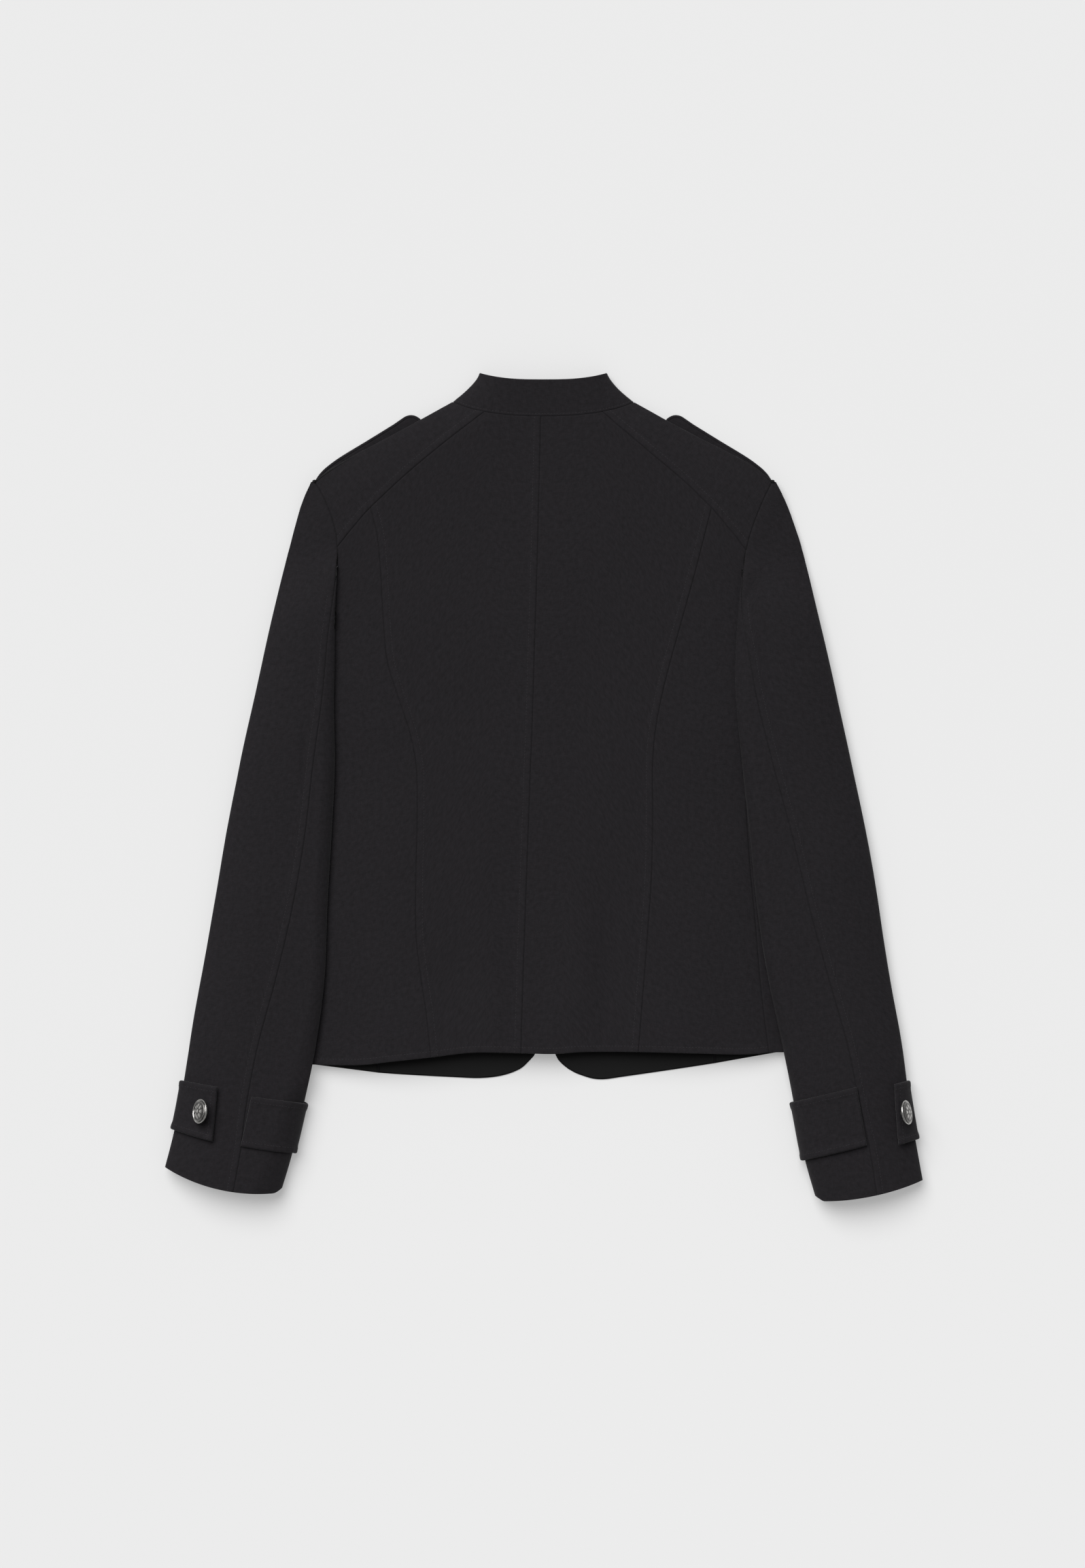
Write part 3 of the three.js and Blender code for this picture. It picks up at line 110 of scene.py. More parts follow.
sideFoldRows = {
    "y": [262, 241, 220, 201, 165, 130, 99, 56, 4, -53, -110, -168, -234],
    "left": [195.5, 204.1, 210.5, 215.1, 214.5, 211, 207, 200.1, 190.9, 194.4, 202.4, 209.3, 215.7],
    "right": [195.5, 205.3, 213.3, 219.1, 217, 212, 208.2, 200.1, 186.5, 190.9, 199, 207, 218.5],
}
backSeamRows = {
    "y": [236, 215, 185, 140, 105, 75, 48, 20, -20, -75, -125, -160, -190, -228],
    "princessLeft": [-146, -140.6, -137.6, -135, -131.3, -121.9, -113.1, -107.4, -106.4, -107.5, -107.4,
        -103.3, -98.9, -94.9],
    "centre": [-4.1, -4.6, -5.4, -6.8, -7.9, -8.8, -9.6, -10.8, -12.2, -14.2, -16, -17.1, -18, -19.1],
    "princessRight": [142, 136.6, 129, 116.6, 106.9, 99.5, 94.7, 92.4, 92.4, 91.4, 88, 85.3, 82.9, 79.9],
}
sideSeamRows = {
    "y": [99, -60, -228],
    "left": [2, 2, 2],
    "right": [8, 17, 26],
}
backHemRows = {
    "x": [-216, -157, -128, -95, -60, -19, 8, 32, 80, 128, 179, 218],
    "y": [-233.5, -234.3, -231.4, -227.9, -223.9, -224.4, -225.1, -223.4, -223.4, -225.1, -226.3, -221],
}
shoulderRows = {
    "out": [76.5, 102, 118, 135, 152, 170, 185, 193.8],
    "y": [326.5, 312, 303.3, 294.3, 285.5, 275.6, 266, 259.2],
}
sleeveHeights = {
    "top": [15, 15, 17, 20, 21.5, 22, 22, 22.5, 22.5, 22.5, 22.5, 23, 24, 25, 25.5],
    "half": [3.3, 3.3, 3.3, 3.3, 3.3, 3.3, 3.3, 3.3, 3.3, 3.3, 3.4, 3.8, 5.5, 6.5, 7.5],
}
frontHemRows = {
    "left": {
        "out": [215.6, 176.5, 140, 73, 51.2, 33.9, 20.1, 12.1, 6.9, 2.2, -0.6],
        "y": [-232.5, -235.5, -241.3, -245.3, -245.8, -243.5, -238.3, -231.4, -225.1, -212, -190],
    },
    "right": {
        "out": [217.4, 178.8, 145, 71.9, 47.7, 32, 21.3, 13.2, 9.8, 5, 1.4],
        "y": [-221, -226.8, -233.3, -244.1, -247, -243.5, -238.3, -231.4, -225.1, -212, -190],
    },
}
yokeSeamRows = {
    "left": {
        "out": [174.2, 157.6, 146.1, 117.3, 83.4, 49.8],
        "y": [204, 224.5, 237.2, 264.2, 292.4, 318.2],
    },
    "right": {
        "out": [171.4, 156.5, 142, 118.5, 86.8, 49.8],
        "y": [201, 219.8, 236.6, 259.6, 286.4, 318.2],
    },
}
backArmholeRows = {
    "left": {
        "out": [174.2, 174.6, 179, 188, 196, 205],
        "y": [204, 188, 174, 150, 126, 99],
    },
    "right": {
        "out": [171.4, 169.9, 173.5, 183, 193, 200.2],
        "y": [201, 189, 176, 153, 126, 99],
    },
}
sleeveFolds = {
    "left": {
        "outer": [196.6, 204.1, 210.5, 215.1, 222.5, 231.2, 243.8, 256.5, 268, 277.7, 287.5, 297.9, 305.9,
            312.8, 320.3],
        "outerY": [258.8, 241.2, 219.9, 202.7, 173.9, 136.6, 79.1, 21.6, -35.9, -93.4, -150.9, -208.4, -257.3,
            -291.8, -321.1],
        "inner": [193.8, 185.2, 177.1, 174.2, 174.8, 176.5, 177.7, 176.5, 179.4, 182.9, 185.2, 193.2, 203.6,
            212.8, 222.5],
        "innerY": [259.2, 244.1, 222.8, 204, 176.8, 139.4, 80.2, 20.4, -40.5, -102.1, -163, -222.8, -271.7,
            -310.2, -342.4],
        "bow": [0, 0, 0, 0, 0, 0, 0.3, 0.6, 1, 1.4, 1.8, 2.3, 3, 4.5, 8],
    },
    "right": {
        "outer": [196.6, 205.3, 213.3, 219.1, 226, 234.6, 247.8, 260.5, 272, 282.3, 291.5, 301.3, 307.6,
            314.5, 320.9],
        "outerY": [258.8, 241.2, 219.9, 201, 173.9, 136.6, 79.1, 21.6, -35.9, -93.4, -150.9, -208.4, -254.4,
            -296.4, -332.1],
        "inner": [193.8, 186.3, 177.7, 171.4, 167.3, 163.9, 162.7, 167.9, 174.2, 180.6, 190.3, 203, 212.8,
            220.8, 231.2],
        "innerY": [259.2, 244.1, 222.8, 201, 175.1, 139.4, 80.2, 20.4, -40.5, -102.1, -163, -222.8, -271.7,
            -313.1, -349.9],
        "bow": [0, 0, 0, 0, 0, 0, 0.2, 0.4, 0.6, 0.8, 1, 1.2, 1.6, 2.6, 4.3],
    },
}
sleeveSeams = {
    "left": {
        "backSeam": [1.2, 1.2, 1.2, 1.5, 3.4, 5, 8.6, 17.8, 21.9, 28.8, 40.3, 48, 47, 42.6, 38.5],
        "backArm": [1, 1, 1, 1, 5.5, 15, 46, 46, 46, 46, 46, 46, 46, 46, 46],
        "frontArm": [1, 1.2, 1.5, 2, 5, 20, 46, 46, 46, 46, 46, 46, 46, 46, 46],
    },
    "right": {
        "backSeam": [1.2, 1.2, 1.2, 1.5, 3.4, 6.3, 16.7, 25.9, 35.7, 43.7, 50, 54, 54, 55.2, 50.6],
        "backArm": [1, 1, 1, 1, 8, 28, 58, 58, 56, 54, 52, 50, 48, 46, 44],
        "frontArm": [1, 1.2, 1.5, 2, 8, 30, 58, 58, 56, 54, 52, 50, 48, 46, 44],
    },
}

shoulder = {"angle": 29.9, "pointOut": 193.8, "pointY": 259.2}
neck = {"y": 314.2, "flat": 2.9, "steep": 1.0, "unit": 50, "corner": 76.5, "yokeCorner": 49.8,
        "frontMiddle": 1, "frontDepth": 64.5, "rowLength": 9}
lie = {"crest": 15.5, "mid": 5, "share": 0.9, "sideRounding": 85, "shoulderRounding": 30, "foldFoot": 13,
       "hemRise": 3, "hemStart": -150, "hemLength": 75, "sideClear": 45, "sideLength": 60}
sleeveLie = {"outerFold": 9, "cuffFold": 10.5, "outerRounding": 42, "innerFactor": 3.4, "outerFoot": 16,
             "innerFoot": 6, "freeStart": 2.7, "freeLength": 2.6, "lipStart": 2.8, "lipLength": 1.4,
             "lipWidth": 14, "firstRow": 0.02, "lastRow": 14, "underFrom": 5.55, "underLength": 0.3,
             "closedFrom": 5.8, "lowerBow": 0.3, "innerProbe": 4, "cuffFoldLength": 3, "underStart": 3.7,
             "seamSection": 3, "seamEase": 1.8, "seamLeast": 0.3, "seamLeastLength": 0.7, "cornerRise": 0.12,
             "cornerWidth": 6, "cornerShare": 0.1}
bridge = {"out": 18, "in": 60, "crest": 15.2, "bend": 2.6, "fadeStart": 12, "fadeLength": 26}
strapLift = {"height": 3.5, "start": 11.15, "length": 0.6}
epauletteLift = {"height": 3.6, "start": -6, "end": 114, "soft": 20, "below": 50, "belowSoft": 26}

# Broad soft folds of the back: x, y, length, width, height, turn in degrees
backFolds = [
    (-50, -150, 130, 16, 1.6, 4), (27, -150, 140, 17, 1.6, -3), (54, -140, 120, 12, -1.1, -2),
    (-150, -130, 120, 16, -1.2, 6), (-20, 120, 160, 40, 1.2, 0),
]

shoulderAlong, shoulderUp = np.cos(np.radians(shoulder["angle"])), np.sin(np.radians(shoulder["angle"]))
centreX = track(backSeamRows["y"], backSeamRows["centre"])
hemY = track(backHemRows["x"], backHemRows["y"])
shoulderY = track(shoulderRows["out"], shoulderRows["y"])


def rowCurve(columns, sign):
    out, y = byRow(columns, "out"), byRow(columns, "y")
    return lambda row: stack(sign * out(row), y(row))


def makeSide(name, sign):
    side = {"name": name, "sign": sign}
    for columns in (sleeveFolds[name], sleeveSeams[name], sleeveHeights):
        side.update({key: byRow(columns, key) for key in columns})
    side["fold"] = track(sideFoldRows["y"], sideFoldRows[name])
    side["seam"] = track(sideSeamRows["y"], sideSeamRows[name])
    side["princess"] = track(backSeamRows["y"], backSeamRows["princess" + name.capitalize()])
    side["yokeSeam"] = rowCurve(yokeSeamRows[name], sign)
    side["backArmhole"] = rowCurve(backArmholeRows[name], sign)
    side["frontHem"] = rowCurve(frontHemRows[name], sign)
    side["frontHemY"] = track(frontHemRows[name]["out"], frontHemRows[name]["y"])
    return side


left, right = makeSide("left", -1), makeSide("right", 1)


def neckY(out):
    u = out / neck["unit"]
    return neck["y"] + neck["flat"] * u**2 + neck["steep"] * u**4


# Heights of the laid coat

def shoulderDepth(x, y):
    return (shoulderY(np.abs(x)) - y) * shoulderAlong


def frontLift(x, y):
    # The underside's rise over a shoulder strap below it: flat on top, eased down at its ends and low side
    c = epauletteLift
    along = (shoulder["pointOut"] - np.abs(x)) * shoulderAlong + (y - shoulder["pointY"]) * shoulderUp
    on = ease((along - c["start"] + c["soft"]) / c["soft"]) * ease((c["end"] + c["soft"] - along) / c["soft"])
    return c["height"] * on * (1 - ease((shoulderDepth(x, y) - c["below"]) / c["belowSoft"]))


def midHeight(x, y):
    return lie["mid"] + lie["share"] * frontLift(x, y)


def sideDepth(x, y):
    return np.where(x < 0, left["fold"](y), right["fold"](y)) - np.abs(x)


def bodyTop(x, y):
    # The back: from the fold's middle height up to a level crest with soft folds, rounded off at the sides
    # and at the shoulders
    depth = sideDepth(x, y)
    crest = lie["crest"] + (lie["hemRise"] * ease((lie["hemStart"] - y) / lie["hemLength"])
                            * ease((depth - lie["sideClear"]) / lie["sideLength"]))
    for foldX, foldY, length, width, height, turn in backFolds:
        c, s = np.cos(np.radians(turn)), np.sin(np.radians(turn))
        across, along = (x - foldX) * c + (y - foldY) * s, (y - foldY) * c - (x - foldX) * s
        crest = crest + height * ease(1 - np.abs(along) / length) * np.exp(-(across / width) ** 2)
    mid = midHeight(x, y)
    return mid + ((crest - mid) * roundOff(depth / lie["sideRounding"])
                  * roundOff(shoulderDepth(x, y) / lie["shoulderRounding"]))


def bodyUnder(x, y):
    lift = frontLift(x, y)
    return lift + (midHeight(x, y) - lift) * (1 - roundOff(shoulderDepth(x, y) / lie["foldFoot"]))


def bridgeHeight(x, y):
    # How high a sleeve's lower layer lies where it climbs over the side of the body
    t = np.clip((bridge["out"] + sideDepth(x, y)) / (bridge["out"] + bridge["in"]), 0, 1)
    pastHem = hemY(x) - bridge["fadeStart"] - y
    return bridge["crest"] * (1 - (1 - t) ** bridge["bend"]) * (1 - ease(pastHem / bridge["fadeLength"]))


def onTop(plan):
    return stack(plan[..., 0], plan[..., 1], bodyTop(plan[..., 0], plan[..., 1]))


def onUnder(plan):
    return stack(plan[..., 0], plan[..., 1], bodyUnder(plan[..., 0], plan[..., 1]))


# Surfaces: each is a function of u and v, both from 0 to 1

def runAlong(points):
    # The length along the first axis of an array of points, up to each of them
    lengths = np.linalg.norm(np.diff(points, axis=0), axis=-1)
    return np.concatenate([np.zeros_like(lengths[:1]), np.cumsum(lengths, axis=0)])


def alongPath(points):
    # A path of points as a function of the share of its length
    run = runAlong(points)
    run = run / run[-1]
    return lambda t: stack(*[np.interp(t, run, points[:, k]) for k in range(points.shape[1])])


def patch(top, bottom, near, far):
    # Coons patch: the two ruled surfaces between opposite edges, added, less the one through the four corners
    top, bottom, near, far = map(alongPath, (top, bottom, near, far))

    def surface(u, v):
        s, t = u[..., None], v[..., None]
        corners = mix(mix(top(0), top(1), s), mix(bottom(0), bottom(1), s), t)
        return mix(top(u), bottom(u), t) + mix(near(v), far(v), s) - corners
    return surface


steps = np.linspace(0, 1, 161)

# Rows at which other seams meet the yoke seam, the armhole and the hem of the front
meets = {"yokePrincess": 2, "yokeNeck": 5, "armholeFoot": 5, "hemSeam": 2, "hemCorner": 6, "hemEdge": 10}
backSeamFoot = backSeamRows["y"][-1]
sideSeam = {"top": 97, "out": 200}


def princessEdge(side):
    top = side["yokeSeam"](meets["yokePrincess"])
    y = mix(top[1], hemY(side["princess"](backSeamFoot)), steps)
    edge = stack(side["princess"](y), y)
    edge[0] = top
    return edge


def centreEdge():
    y = mix(neckY(centreX(neckY(0))), hemY(centreX(backSeamFoot)), steps)
    return stack(centreX(y), y)


def neckEdge(side):
    x = mix(side["sign"] * neck["yokeCorner"], centreX(neckY(0)), steps)
    return stack(x, neckY(np.abs(x)))


def sideSeamEdge(side):
    y = mix(sideSeam["top"], hemY(side["sign"] * sideSeam["out"]), steps)
    return stack(side["sign"] * (side["fold"](y) - side["seam"](y)), y)


def backPiece(top, near, far):
    # A piece of the back between three given edges and the hem
    x = mix(near[-1, 0], far[-1, 0], steps)
    plan = patch(top, stack(x, hemY(x)), near, far)
    return lambda u, v: onTop(plan(u, v))


def backSurface(side):
    seam = side["yokeSeam"](mix(meets["yokePrincess"], meets["yokeNeck"], steps))
    return backPiece(np.concatenate([seam, neckEdge(side)[1:]]), princessEdge(side), centreEdge())


def backSideSurface(side):
    top = side["yokeSeam"](mix(0, meets["yokePrincess"], steps))
    armhole = side["backArmhole"](mix(0, meets["armholeFoot"], steps))
    return backPiece(top, np.concatenate([armhole[:-1], sideSeamEdge(side)]), princessEdge(side))


# Sleeves: a ring at each section. turn is 0 at the inner fold and 1 at the outer one, and the lower layer
# runs on from 1 to 2, or back from 0 to -1. part is the share of the way between the folds.

def sleeveWidth(side, row):
    return np.hypot(side["outer"](row) - side["inner"](row), side["outerY"](row) - side["innerY"](row))


def turnOfPart(part):
    return np.arccos(1 - 2 * np.clip(part, 0, 1)) / np.pi


def partOfTurn(turn):
    return (1 - np.cos(np.pi * turn)) / 2


def wrapped(turn):
    # From 0 to 1 on the upper layer, below 0 on the lower one
    return np.mod(turn + 1, 2) - 1

def turnOfDistance(side, row, distance):
    return turnOfPart(distance / sleeveWidth(side, row))


def restHeight(x, y, row, cloth):
    # What the lower layer rests on: the surface, the side of the body or the strap below the cuff
    strapped = strapLift["height"] * ease((row - strapLift["start"]) / strapLift["length"])
    bridged = bridgeHeight(x, y) + strapped
    if cloth == "under":
        return bridged
    return mix(frontLift(x, y), bridged, ease((row - sleeveLie["underFrom"]) / sleeveLie["underLength"]))


def sleeveAt(side, row, turn, cloth):
    # The ring in plan lies between the two folds, bowed towards the cuff. On top it is the body's height at
    # the head and eases into a crest of its own. Below it rests on what lies there and rounds up to both
    # folds.
    c, row, turn = sleeveLie, np.asarray(row, float), np.asarray(turn, float)
    upper, part, width = wrapped(turn) >= 0, partOfTurn(turn), sleeveWidth(side, row)
    inner, outer, innerY, outerY = (side[k](row) for k in ("inner", "outer", "innerY", "outerY"))
    bow = side["bow"](row) * 4 * part * (1 - part) * np.where(upper, 1, c["lowerBow"])
    x = side["sign"] * (mix(inner, outer, part) - bow * (innerY - outerY) / width)
    y = mix(innerY, outerY, part) + bow * (inner - outer) / width
    fromInner, fromOuter = part * width, (1 - part) * width
    half = side["half"](row)
    innerZ = restHeight(side["sign"] * (inner + c["innerProbe"]), innerY, row, "under") + half
    outerZ = mix(c["outerFold"], c["cuffFold"], ease((row - strapLift["start"]) / c["cuffFoldLength"]))
    lip = softEase((row - c["lipStart"]) / c["lipLength"]) * np.exp(-(fromInner / c["lipWidth"]) ** 2)
    free = np.maximum(softEase((row - c["freeStart"]) / c["freeLength"]), lip)
    line = mix(innerZ, outerZ, part)
    base = mix(midHeight(x, y), line, free)
    crest = (side["top"](row) - line) * roundOff(fromInner / (c["innerFactor"] * half))
    crest = crest * roundOff(fromOuter / c["outerRounding"])
    top = base + mix(bodyTop(x, y) - midHeight(x, y), crest, free)
    rest = restHeight(x, y, row, cloth)
    closed = row > c["closedFrom"]
    innerFoot = np.where(closed | (cloth == "under"), roundOff(fromInner / c["innerFoot"]), 1)
    outerFoot = np.where(closed | (cloth == "upper"), roundOff(fromOuter / c["outerFoot"]), 1)
    below = rest + (base - rest) * (1 - innerFoot * outerFoot)
    return stack(x, y, np.where(upper, top, below))


def armTop(side, row):
    return sleeveAt(side, row, 0, "upper")[..., :2]


def frontArmTurn(side, row):
    return 2 - turnOfDistance(side, row, side["frontArm"](row))


def armUnder(side, row):
    return sleeveAt(side, row, frontArmTurn(side, row), "upper")[..., :2]


def backSeamTurn(side, row):
    # The back seam runs on the inner fold at the armhole and eases away from it below
    c = sleeveLie
    away = side["backSeam"](row) * ease((row - c["underStart"]) / c["seamEase"])
    least = c["seamLeast"] * ease((row - c["seamSection"]) / c["seamLeastLength"])
    return turnOfDistance(side, row, away + least)


def upperRing(side, u, v):
    # Row and turn on the upper sleeve, from the back seam over the outer fold to the front seam below
    row = mix(sleeveLie["firstRow"], sleeveLie["lastRow"], v)
    return row, mix(backSeamTurn(side, row), frontArmTurn(side, row), u)


def upperSleeve(side):
    return lambda u, v: sleeveAt(side, *upperRing(side, u, v), "upper")


sleeveWall = {"least": 0.12, "share": 0.3, "from": 4, "length": 2}


def upperSleeveWall(side):
    # At the head the two layers lie so close that the wall narrows to a share of the room between them
    c = sleeveWall

    def wall(u, v):
        row, turn = upperRing(side, u, v)
        room = np.abs(sleeveAt(side, row, turn, "upper") - sleeveAt(side, row, 2 - turn, "upper"))[..., 2]
        narrow = c["least"] + c["share"] * room
        return np.minimum(clothThickness, mix(narrow, clothThickness, ease((row - c["from"]) / c["length"])))
    return wall


def underSleeve(side):
    # The hem's corner at the inner fold is worn round: there the last section lies a little higher
    c = sleeveLie

    def surface(u, v):
        row = mix(c["underStart"], c["lastRow"], v)
        turn = mix(backSeamTurn(side, row), -turnOfDistance(side, row, side["backArm"](row)), u)
        fromFold = partOfTurn(turn) * sleeveWidth(side, row)
        corner = c["cornerRise"] * np.maximum(0, 1 - fromFold / c["cornerWidth"]) ** 2
        atHem = ease((v - 1 + c["cornerShare"]) / c["cornerShare"])
        return sleeveAt(side, row - corner * atHem, turn, "under")
    return surface


# Yoke: up the shoulder to the fold and a little way down the front

def neckTop(side, row):
    out = mix(neck["yokeCorner"], neck["corner"], 1 - row / sleeveLie["seamSection"])
    return stack(side["sign"] * out, neckY(out))


def neckUnder(side, angle):
    reach = neck["corner"] - side["sign"] * neck["frontMiddle"]
    x = neck["frontMiddle"] + side["sign"] * reach * np.cos(angle)
    return stack(x, neckY(neck["corner"]) - neck["frontDepth"] * np.sin(angle))


def neckAngle(row):
    return row * neck["rowLength"] / neck["frontDepth"]


yokeFold = 0.72  # the share of the yoke's v that lies on the back
yokeSpread = {"back": 1.6, "front": 1.5}  # how much closer the rows lie at the fold


def yokeSurface(side):
    out = mix(shoulder["pointOut"], neck["corner"], steps)
    ridge = stack(side["sign"] * out, shoulderY(out))
    rows = mix(sleeveLie["seamSection"], 0, steps)
    near, far = armTop(side, rows), neckTop(side, rows)
    near[-1], ridge[-1] = ridge[0], far[-1]
    top = patch(side["yokeSeam"](mix(0, meets["yokeNeck"], steps)), ridge, near, far)
    fold = alongPath(ridge)

    def surface(u, v):
        over = np.clip(v / yokeFold, 0, 1)
        onBack = onTop(top(u, 1 - (1 - over) ** yokeSpread["back"]))
        row = np.clip((v - yokeFold) / (1 - yokeFold), 0, 1) ** yokeSpread["front"]
        atArm, atNeck = armUnder(side, row) - ridge[0], neckUnder(side, neckAngle(row)) - ridge[-1]
        onFront = onUnder(fold(u) + mix(atArm, atNeck, u[..., None]))
        return np.where((v <= yokeFold)[..., None], onBack, onFront)
    return surface


frontSeam = {"row": 4.2, "bendOut": 141, "bendY": 20}


def frontSeamEdge(side, t):
    # From the armhole in a quarter parabola to the waist, then straight to the hem
    top, foot = armUnder(side, frontSeam["row"]), side["frontHem"](meets["hemSeam"])
    bendX, bendY = side["sign"] * frontSeam["bendOut"], frontSeam["bendY"]
    y = mix(top[1], foot[1], t)
    u = np.clip((top[1] - y) / (top[1] - bendY), 0, 1)
    upper = mix(top[0], bendX, 1 - (1 - u) ** 2)
    return stack(np.where(u < 1, upper, mix(bendX, foot[0], (bendY - y) / (bendY - foot[1]))), y)


def frontSurface(side):
    yoke = yokeSurface(side)(steps, np.ones_like(steps))[:, :2]
    neckLine = neckUnder(side, mix(neckAngle(1), np.pi / 2, steps))
    near = np.concatenate([armUnder(side, mix(1, frontSeam["row"], steps)), frontSeamEdge(side, steps)[1:]])
    corner = side["frontHem"](mix(meets["hemEdge"], meets["hemCorner"], steps))
    far = np.concatenate([mix(neckLine[-1], corner[0], steps[:, None])[:-1], corner])
    bottom = side["frontHem"](mix(meets["hemSeam"], meets["hemCorner"], steps))
    plan = patch(np.concatenate([yoke, neckLine[1:]]), bottom, near, far)
    return lambda u, v: onUnder(plan(u, v))


# Side front: from the side seam on the back round the side fold, then flat to the front seam

sideFront = {"depth": 14, "rise": 18, "bend": 1.2, "foldAt": 0.3, "flatAt": 0.6, "wrapEase": 3, "spread": 1.6}


def sideAt(side, y, wrap):
    depth = wrap * wrap / (np.abs(wrap) + sideFront["wrapEase"])
    x = side["sign"] * (side["fold"](y) - depth)
    under = midHeight(x, y) * (1 - roundOff(depth / lie["foldFoot"]))
    return stack(x, y, np.where(wrap > 0, bodyTop(x, y), under))


def sideFrontSurface(side):
    c, top = sideFront, sideSeam["top"]
    footY = hemY(side["sign"] * sideSeam["out"])

    def wrapOf(depth):
        return (depth + np.sqrt(depth * depth + 4 * c["wrapEase"] * depth)) / 2

    def turned(depth, t):
        foot = mix(footY, side["frontHemY"](side["fold"](footY) - depth), depth / c["depth"])
        return sideAt(side, mix(top + c["rise"] * (depth / c["depth"]) ** c["bend"], foot, t), -wrapOf(depth))

    def surface(u, v):
        y = mix(top, footY, v)
        back = sideAt(side, y, wrapOf(side["seam"](y)) * np.clip(1 - u / c["foldAt"], 0, 1))
        share = np.clip((u - c["foldAt"]) / (c["flatAt"] - c["foldAt"]), 0, 1)
        under = turned(c["depth"] * share ** c["spread"], v)
        inner = turned(np.full_like(v, c["depth"]), v)
        seam = frontSeamEdge(side, v)
        reach = np.clip((u - c["flatAt"]) / (1 - c["flatAt"]), 0, 1)
        flat = mix(inner, stack(seam[..., 0], seam[..., 1], 0), reach[..., None])
        below = np.where((u < c["flatAt"])[..., None], under, flat)
        return np.where((u < c["foldAt"])[..., None], back, below)
    return surface


# Collar: one band from one front edge round both neck folds to the other

collar = {"topY": 345.2, "rise": 5.8, "corner": 54, "cornerY": 351, "frontDepth": 60, "topZ": 17, "foldZ": 6,
          "rounding": 22, "flareBend": 1.4}


def collarSide(side):
    # Seam and top points from the front edge to the centre back. The top ones lie on a quarter ellipse below,
    # and above they follow the neck.
    c, fold, count = collar, lie["foldFoot"], 120
    frontMiddle, sign = neck["frontMiddle"], side["sign"]
    angle = mix(np.pi / 2, neckAngle(1), np.linspace(0, 1, 60))[:-1]
    front = onUnder(neckUnder(side, angle))
    edge = yokeSurface(side)(np.ones(count), np.linspace(1, 0, count))
    back = onTop(neckEdge(side)[::4])[1:]
    cornerPlace = neckTop(side, 0)

    def away(p):
        return np.hypot(p[..., 0] - cornerPlace[0], p[..., 1] - cornerPlace[1])
    seam = np.concatenate([front, edge, back])
    number = np.arange(len(seam))
    under = number < len(front) + int(round((1 - yokeFold) * (count - 1)))
    angles = np.concatenate([angle, away(edge) / neck["frontDepth"], np.zeros(len(back))])
    frontX = frontMiddle + sign * (c["corner"] - sign * frontMiddle) * np.cos(angles)
    scale = c["corner"] / neck["corner"]
    distance = away(seam)
    frontZ = c["foldZ"] * (1 - roundOff(np.where(number < len(front), fold, distance * scale) / fold))
    below = stack(frontX, c["cornerY"] - c["frontDepth"] * np.sin(angles), frontZ)
    backX = mix(sign * c["corner"], centreX(neck["y"]), distance / distance[-1])
    backY = c["topY"] + c["rise"] * (np.abs(backX) / c["corner"]) ** 3
    above = stack(backX, backY, mix(c["foldZ"], c["topZ"], roundOff(distance * scale / c["rounding"])))
    return seam, np.where(under[:, None], below, above)


def collarSurface():
    seams, tops = zip(*(collarSide(side) for side in (left, right)))
    seam = np.concatenate([seams[0], seams[1][-2::-1]])
    top = np.concatenate([tops[0], tops[1][-2::-1]])
    both = alongPath(np.concatenate([seam, top], axis=1))

    def surface(u, v):
        points = both(u)
        p = mix(points[..., :3], points[..., 3:], v[..., None])
        flare = (neck["corner"] - collar["corner"]) * ((1 - v) ** collar["flareBend"] - (1 - v))
        near = np.clip(np.abs(p[..., 0]) / mix(neck["corner"], collar["corner"], v), 0, 1) ** 2
        p[..., 0] += np.sign(p[..., 0]) * flare * near
        return p
    return surface


# Cuff straps: from the back seam over the inner fold, below the cuff and up round the outer fold

strapGap, strapWall, strapTip = 0.55, 2.6, 0.22
strapRiseShare, strapSeamGap = 0.26, 1.2
cuffStraps = {
    "left": {"seamTop": 11.93, "seamFoot": 12.98, "topRise": 0.1, "footRise": 0.085,
             "endTop": 11.75, "endFoot": 12.91, "end": 0.71, "footEnd": 0.662, "tipLift": 1.6},
    "right": {"seamTop": 11.87, "seamFoot": 13.05, "topRise": 0.11, "footRise": 0.15,
              "endTop": 11.85, "endFoot": 13.03, "end": 0.87, "footEnd": 0.82, "tipLift": 3},
}


def sleeveNormal(side, row, turn):
    # The outward normal, from two small steps. The rough outward direction is only used for its sign.
    step = 0.02
    along = sleeveAt(side, row + step, turn, "ring") - sleeveAt(side, row - step, turn, "ring")
    around = sleeveAt(side, row, turn + step, "ring") - sleeveAt(side, row, turn - step, "ring")
    normal = unit(np.cross(along, around))
    rise = np.clip(6 * np.sin(np.pi * wrapped(turn)), -2, 2)
    outward = stack(-1.2 * side["sign"] * np.cos(np.pi * turn), 0, rise)
    return normal * np.where((normal * outward).sum(-1) < 0, -1, 1)[..., None]


def strapHeight(c, fromEnd):
    # How high the strap's outside lies over the sleeve: its free end lifts
    return strapGap + strapWall + c["tipLift"] * ease(1 - fromEnd / strapTip)


